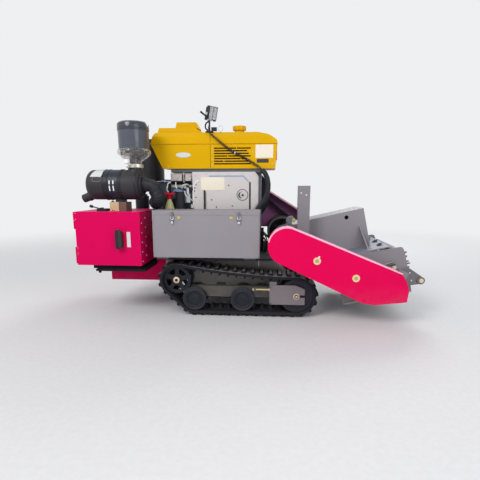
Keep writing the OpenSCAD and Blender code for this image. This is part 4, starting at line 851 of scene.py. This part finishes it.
# Near-black plates in the gaps under and between the head covers: painted shade in the gaps.
gaps = Piece("head_gap_shade", "black_paint", "dark")
gaps.box((-546, -145, 867), (-404, -144.1, 889))
gaps.box((-467, -145, 890), (-446, -144.1, 933))
pipes = Piece("injection_pipes", "chrome", "label")
for r, *route in (
        (4.2, (-560, -166, 812), (-570, -168, 830), (-566, -170, 850), (-560, -170, 872), (-544, -162, 883)),
        (4.0, (-512, -146, 880), (-508, -166, 866), (-505, -172, 850), (-500, -176, 838)),
        (3.6, (-468, -165, 842), (-455, -172, 862), (-430, -160, 866), (-418, -146, 850)),
        (4.4, (-445, -182, 822), (-440, -186, 802), (-428, -184, 784), (-409, -176, 769), (-394, -160, 755))):
    pipes.tube(route, r)
pump = Piece("injection_pump", "cast_aluminium", "silver", 1.2)
pump.box((-448, -158, 742), (-412, BEHIND, 800))
pump.cyl((-430, -150, 800), (-430, -150, 836), 13)
pump.bolt((-430, -150, 836), UP, 9, 8)
pump.cyl((-400, -158, 705), (-400, -158, 730), 10)
pump.box((-448, -158, 806), (-420, BEHIND, 822))
pump.bolt((-440, -178, 842), (0, -0.4, 1), 7, 14)
pump.bolt((-464, -178, 842), (0, -0.4, 1), 6, 12)
parts = Piece("head_parts", "cast_aluminium", "iron", 1.5)
parts.box((-536, -146, 690), (-520, BEHIND, 770))
parts.box((-505, -146, 820), (-412, BEHIND, 838))
parts.cyl((-438, -150, 852), (-418, -150, 852), 9)
parts.cyl((-566, -118, 690), (-566, -118, 870), 8)
parts.box((-440, -150, 690), (-395, BEHIND, 738))
parts.lathe((-404, -150, 832), NEAR, [(-18, 17), (2, 17), (6, 13), (6, 0)], 28)
# The two domes are blue: a painted reflection of the sky on their bright metal.
domes = Piece("fuel_filter_dome", "chrome", "dome_sky_reflection")
domes.lathe((-485, -184, 827), UP, [(-12, 38), (-9, 40), (-6, 40), (0, 36), (6, 27), (10, 14), (11, 0)], 40)
domes.lathe((-590, -88, 883), UP, [(0, 50), (5, 49), (10, 44), (15, 32), (18, 14), (18.5, 0)], 40)
block("rocker_cover", "chrome", "silver", 6, (-668, -100, 876), (-556, 50, 889), 4)
block("air_duct", "engine_paint", "engine", 2, (-545, -140, 946), (80, 140, 972))

# Oil bottle with a red wing cap
BOTTLE = (-552, -184, corners("oil_bottle")[0][2])
Piece("bottle_body", "pale_plastic", "bottle", replaced="oil_bottle").lathe(BOTTLE, UP, [
    (0, 0), (0, 34), (4, 37), (284, 37.5), (298, 36), (330, 26), (354, 16), (366, 13), (372, 13), (372, 0)],
    40)
wing = Piece("bottle_cap", "pale_plastic", "red", 2.0, 3)
wing.lathe((*BOTTLE[:2], 766), UP, [(0, 0), (0, 16), (4, 17), (22, 14), (26, 20), (34, 22), (34, 0)], 32)
wing.box((-600, -193, 797), (-504, -175, 809))

# Cabinet: handle, label and screws
DOOR = -439.5
block("door_label", "magenta_paint", "label", 0.4, (-770, DOOR - 1.4, 469), (-746, DOOR, 566),
      body="cabinet_door")
grip = Piece("handle_grip", "black_paint", "plastic", 5.0, 4, "cabinet_door")
grip.box((-827, -477.5, 466), (-792, -452, 576))
for z in (470, 552):
    grip.box((-824, -455, z), (-795, DOOR, z + 20))
block("handle_strip", "black_paint", "red", 1.0, (-791, -446, 468), (-781, DOOR, 570), body="cabinet_door")
CABINET_END = corners("cabinet_body")[1][0]
Piece("cabinet_screws", "magenta_paint", "silver").screws(
    [(CABINET_END, y, z) for y, z0 in ((-405, 372), (-330, 400)) for z in range(z0, 680, 62)], RIGHT, 5, 2.5)
Piece("hinge_screws", "magenta_paint", "silver", body="cabinet_door").screws(
    [(-1097, -442, z) for z in (424, 460, 646, 682)], NEAR, 2.6, 1.2)

# Side boxes: latches and rims on their doors, rivets
FACE = 430
for side, s in (("near", -1), ("far", 1)):
    body = "side_door_" + side
    x0, x1 = [corner[0] for corner in corners("side_box_" + side)]
    tags = Piece("latch_tags_" + side, "grey_paint", "tag", 0.8, body=body)
    hooks = Piece("latch_hooks_" + side, "grey_paint", "chrome", 0.6, body=body)
    for share, tag_x in ((0.19, 32), (0.81, -58)):
        x = x0 + share * (x1 - x0)
        tags.box((x + tag_x, s * FACE, 650), (x + tag_x + 20, s * (FACE + 3), 666))
        hooks.cyl((x, s * 438, 628), (x, s * 442, 628), 8)
        loop = ((-7, 436, 668), (-7, 440, 650), (7, 440, 650), (7, 436, 668))
        hooks.tube([(x + dx, s * y, z) for dx, y, z in loop], 1.8, 8)
    edge = Piece("door_rim_" + side, "grey_paint", "grey", 0.6, body=body)
    left, right = x0 + 3, x1 - 3
    for xa, xb, top in ((left, right, 411), (left, left + 5, 672), (right - 5, right, 672)):
        edge.box((xa, s * FACE, 406), (xb, s * (FACE + 1.6), top))
rivets = Piece("box_rivets", "grey_paint", "grey")
rivets.screws([(x, -FACE, 689) for x in range(-580, 76, 72)], NEAR)
rivets.screws([(x, FACE, 689) for x in range(-580, -350, 72)], FAR)
rivets.screws([(76, y, z) for y in (-400, -270) for z in (430, 520, 610, 680)], RIGHT)
block("box_flange", "grey_paint", "steelgrey", 0.8, (70, -424, 356), (74, -250, 402.5))

# Tracks: hubs, bolts, plugs and the rollers' rims
SPROCKET_X, SPROCKET_Z = -475, 240
IDLER_X, IDLER_Z = 318, 145
ROLLERS_X, ROLLER_Z = (-357, -35), 115
HUB = [(0, 0), (0, 26), (5, 26), (7, 22), (7, 12), (4, 10), (4, 0)]
DISH = [(-4, 51), (1.5, 53), (2.5, 58), (0.5, 63), (-1, 64)]
RIM = [(-1, 63), (1.2, 65), (2.2, 72), (1.2, 77), (-2, 79)]
bolts = Piece("track_bolts", "cast_iron", "zinc")
hubs = Piece("hub_faces", "cast_iron", "iron")
rims = Piece("roller_rims", "cast_iron", "rim")
ends = Piece("shaft_ends", "cast_iron", "silver", 0.5)
plugs = Piece("plate_plugs", "cast_iron", "black", 0.3)
for s in SIDES:
    out = (0, s, 0)
    bolts.lathe((SPROCKET_X, s * 365, SPROCKET_Z), out, [(0, 0), (0, 21), (4, 21), (5, 19), (5, 0)], 36)
    hubs.lathe((SPROCKET_X, s * 370, SPROCKET_Z), out, [(0, 0), (0, 11), (3, 11), (3, 0)], 6)
    bolts.bolt((IDLER_X, s * 377, IDLER_Z), out, 14, 9)
    ends.lathe((IDLER_X, s * 386, IDLER_Z), out, [(0, 0), (0, 8), (3, 8), (4, 6), (4, 0)], 24)
    for z in (208, 98):
        plugs.lathe((150, s * 387, z), out, [(0, 0), (0, 4), (0.8, 4), (0.8, 0)], 20)
    for x, way, size in ((39, LEFT, 8), (55, RIGHT, 7), (142.5, LEFT, 8)):
        bolts.bolt((x, s * 364, 185), way, size, size)
    for x in ROLLERS_X:
        hubs.lathe((x, s * 360, ROLLER_Z), out, HUB, 36)
        hubs.lathe((x, s * 368, ROLLER_Z), out, DISH, 64)
        rims.lathe((x, s * 368, ROLLER_Z), out, RIM, 64)


# Milling unit, in its own level frame where it says unit
def unit_piece(name, slot, mat, bevel=0.0):
    return Piece(name, slot, mat, bevel, body="milling_unit")


DRUM_X, DRUM_Z, DECK_Z = 515, -365, -169
unit_piece("guard_screw", "magenta_paint", "white").screws([(434, -534, 436)], NEAR, 6, 3)
bolts = unit_piece("unit_bolts", "grey_paint", "zinc")
rings = unit_piece("arm_rings", "grey_paint", "arm")
lever = unit_piece("skid_lever", "grey_paint", "steel", 0.8)
blocks = unit_piece("lever_block", "grey_paint", "frame", 1.5)
shoes = unit_piece("skid_shoes", "worn_steel", "steel", 1.5)
for s in SIDES:
    out = (0, s, 0)
    eye = unit(787, s * 362, -424)
    bolts.lathe(eye, out, [(0, 0), (0, 14), (4, 14), (5, 12), (9, 11), (9, 0)], 32)
    rings.band(eye, out, 0, 3, 14, 20, 32)
    bolts.bolt(unit(640, s * 352, -308), out, 9, 8)
    bolts.bolts([unit(x, s * 366, z) for x, z in around(DRUM_X, DRUM_Z, 50, turns(6, 0.5))], out, 5, 5)
    lever.cyl(unit(585, s * 347, -278), unit(646, s * 347, -268), 4.5)
    blocks.unit_box((598, s * 340, -322), (650, s * 352, -288))
    shoes.unit_box((300, s * 322, -490), (720, s * 346, -478))
# A pale pink tube along the near guard's upper edge: a painted highlight of the sky.
edge = around(0, 0, 111, (2.7, 2.5, 2.3, 2.1, 1.9, 1.7, 1.5, 1.3, 1.1)) + [(63, 91), (579, -272), (622, -302)]
unit_piece("guard_edge_highlight", "magenta_paint", "pink_highlight").tube([unit(x, -531, z) for x, z in edge], 4.5, 12)
hooks = unit_piece("deck_hooks", "grey_paint", "slate", 1.5)
for x, y in ((600, -231), (612, -83), (600, 67), (600, 217)):
    hooks.unit_box((x - 12, y - 12, -171), (x + 14, y + 12, -160))
    hooks.unit_box((x - 4, y - 5, -162), (x + 22, y + 5, -155))
bits = unit_piece("edge_bits", "grey_paint", "copper", 0.8)
for z, h in ((-228, 9), (-255, 7), (-288, 12), (-303, 18), (-326, 10)):
    bits.cyl(unit(724, -331, z), unit(728 + h, -331, z), 6, 5, n=8)
unit_piece("rubber_flap", "hose_rubber", "rubber", 0.8).unit_box((726, -300, -420), (731, 300, -226))
strip = unit_piece("flap_strip", "grey_paint", "steel", 0.8).unit_box((731, -300, -262), (735, 300, -232))
strip.bolts([unit(735, y, -247) for y in range(-280, 300, 80)], UNIT_X, 7, 7)
welds = unit_piece("weld_beads", "grey_paint", "grey")
for y in (-125, 125):
    welds.cyl(unit(288, y, DECK_Z), unit(566, y, DECK_Z), 3.2, n=10)
welds.cyl(unit(568, -124, DECK_Z), unit(568, 124, DECK_Z), 3.2, n=10)
for s in SIDES:
    for x in (514, 526):
        welds.cyl(unit(x, s * 126, DECK_Z + 1), unit(x, s * 268, DECK_Z + 1), 2.6, n=10)

# Picks on the drum, in three rows that wind round it
PICKS, PICK_TURN, DRUM_HALF = 18, 47, 300
holders = Piece("pick_holders", "worn_steel", "steel", 1.2, body="milling_drum")
tips = Piece("pick_tips", "worn_steel", "silver", body="milling_drum")
for i in range(PICKS):
    at = Vector(unit(DRUM_X, 2 * DRUM_HALF * i / (PICKS - 1) - DRUM_HALF, DRUM_Z))
    for j in range(3):
        turn = spin(radians(i * PICK_TURN + j * 120) - RAISE, "Y")
        holders.box((-24, -14, 112), (12, 14, 140), turn, at)
        holders.cyl(at + turn @ Vector((0, 0, 132)), at + turn @ Vector((2, 0, 152)), 12, 9, n=20)
        tips.cyl(at + turn @ Vector((0, 0, 150)), at + turn @ Vector((0, 0, 169.5)), 8, 2.0, n=16)

# Bearing on the post, flywheel, pulley, hoses and exhaust
bearing = Piece("post_bearing", "grey_paint", "arm", 2.0, 3).box((262, -236, 583), (292, -206, 650))
bearing.lathe((277, -239, 628), FAR, [(0, 0), (0, 26), (3, 30), (26, 30), (29, 26), (29, 0)], 40)
block("post_lug", "grey_paint", "label", 1.0, (286, -240, 604), (322, -226, 632))
Piece("lug_bolt", "grey_paint", "tag").bolt((297, -240, 632), NEAR, 8, 8)
CRANK_X, CRANK_Z = joint_at("engine_spin")[::2]
face = Piece("flywheel_face", "cast_iron", "iron", 1.5, body="flywheel")
face.bolts([(x, 210, z) for x, z in around(CRANK_X, CRANK_Z, 70, turns(6))], FAR, 9, 8)
for t in turns(48):
    face.box((211, -78, -2.5), (214.6, -6, 2.5), spin(t, "Y"), (CRANK_X, 240, CRANK_Z))
pulley = Piece("pulley_ring", "cast_iron", "arm", 0.8, body="jackshaft")
PULLEY = (PIVOT[0], 330, PIVOT[2])
pulley.lathe(PULLEY, NEAR, [(0, 101), (0, 118), (2, 117), (2, 102)], 64)
pulley.lathe(PULLEY, NEAR, [(0, 24), (0, 40), (2, 39), (2, 25)], 36)
hoses = Piece("oil_hoses", "hose_rubber", "hose")
hoses.tube([(90, -122, 500), (104, -140, 494), (112, -156, 466), (108, -164, 430), (102, -166, 404)], 6)
hoses.tube([(90, -100, 520), (108, -112, 512), (122, -128, 476), (120, -142, 430), (114, -144, 404)], 5)
hoses.tube([(-700, 120, 480), (-660, 130, 470), (-630, 140, 440), (-610, 150, 412), (-580, 150, 404)], 11)
exhaust = Piece("exhaust_parts", "black_paint", "black", 1.2)
MUFFLER = (-795, 250)
for z in (890, 1130):
    exhaust.band((*MUFFLER, z), UP, 0, 8, 95, 97.5, 56)
exhaust.lathe((*MUFFLER, 1156), UP, [(52, 20), (60, 20), (60, 25.5), (50, 26)], 32)

# Every piece becomes an object
for piece in Piece.made:
    piece.finish()

# Floor: soft grey near the machine, the background's pale colour far from it
PALE = (0.86, 0.87, 0.88, 1)
floor_paint = bpy.data.materials.new("floor")
tree = Tree(floor_paint)
vec = tree.add("TexCoord").outputs["Object"]
surface = tree.nodes["Principled BSDF"]
surface.inputs["Roughness"].default_value = 0.9
tree.link(tree.mix(tree.ramp(tree.noise(vec, 40.0, 8.0), 0.3, 0.7), (0.70, 0.70, 0.71), (0.73, 0.73, 0.74)),
          surface.inputs["Base Color"])
far_off = tree.ramp(tree.vectors("LENGTH", vec), 1.8, 6.5)
glow = tree.add("Emission", Color=PALE)
blend = tree.add("MixShader", [far_off, surface.outputs[0], glow.outputs[0]])
tree.link(blend.outputs[0], tree.nodes["Material Output"].inputs["Surface"])
floor = bpy.data.meshes.new("floor")
floor.from_pydata([(x, y, 0) for y in (-30, 30) for x in (-30, 30)], [], [(0, 1, 3, 2)])
floor.materials.append(floor_paint)
placed("floor", floor)


# Studio light
def area(name, at, size, power, color=(1, 1, 1)):
    """A round soft lamp that looks at the middle of the machine."""
    light = bpy.data.lights.new(name, "AREA")
    light.shape = "DISK"
    light.size = size
    light.energy = power
    light.color = color
    ob = placed(name, light)
    ob.location = at
    ob.rotation_euler = (Vector((0, 0, 0.5)) - Vector(at)).to_track_quat("-Z", "Y").to_euler()


area("key", (-2.6, -4.2, 3.9), 2.4, 170, (1, 0.99, 0.97))
area("fill", (2.6, -3.8, 2.4), 3.0, 55, (0.97, 0.98, 1))
area("back", (1.5, 4.0, 3.8), 2.6, 120)
world = bpy.data.worlds.new("world")
bpy.context.scene.world = world
tree = Tree(world)
sky_light = tree.nodes["Background"]
sky_light.inputs["Color"].default_value = (0.92, 0.95, 1, 1)
sky_light.inputs["Strength"].default_value = 0.50
backdrop = tree.add("Background", Color=PALE, Strength=1.0)
ray = tree.add("LightPath").outputs
seen = tree.calc("MAXIMUM", ray["Is Camera Ray"],
                 tree.calc("MAXIMUM", ray["Is Glossy Ray"], ray["Is Transmission Ray"]))
blend = tree.add("MixShader", [seen, sky_light.outputs[0], backdrop.outputs[0]])
tree.link(blend.outputs[0], tree.nodes["World Output"].inputs["Surface"])
bpy.context.scene.view_settings.view_transform = "Standard"
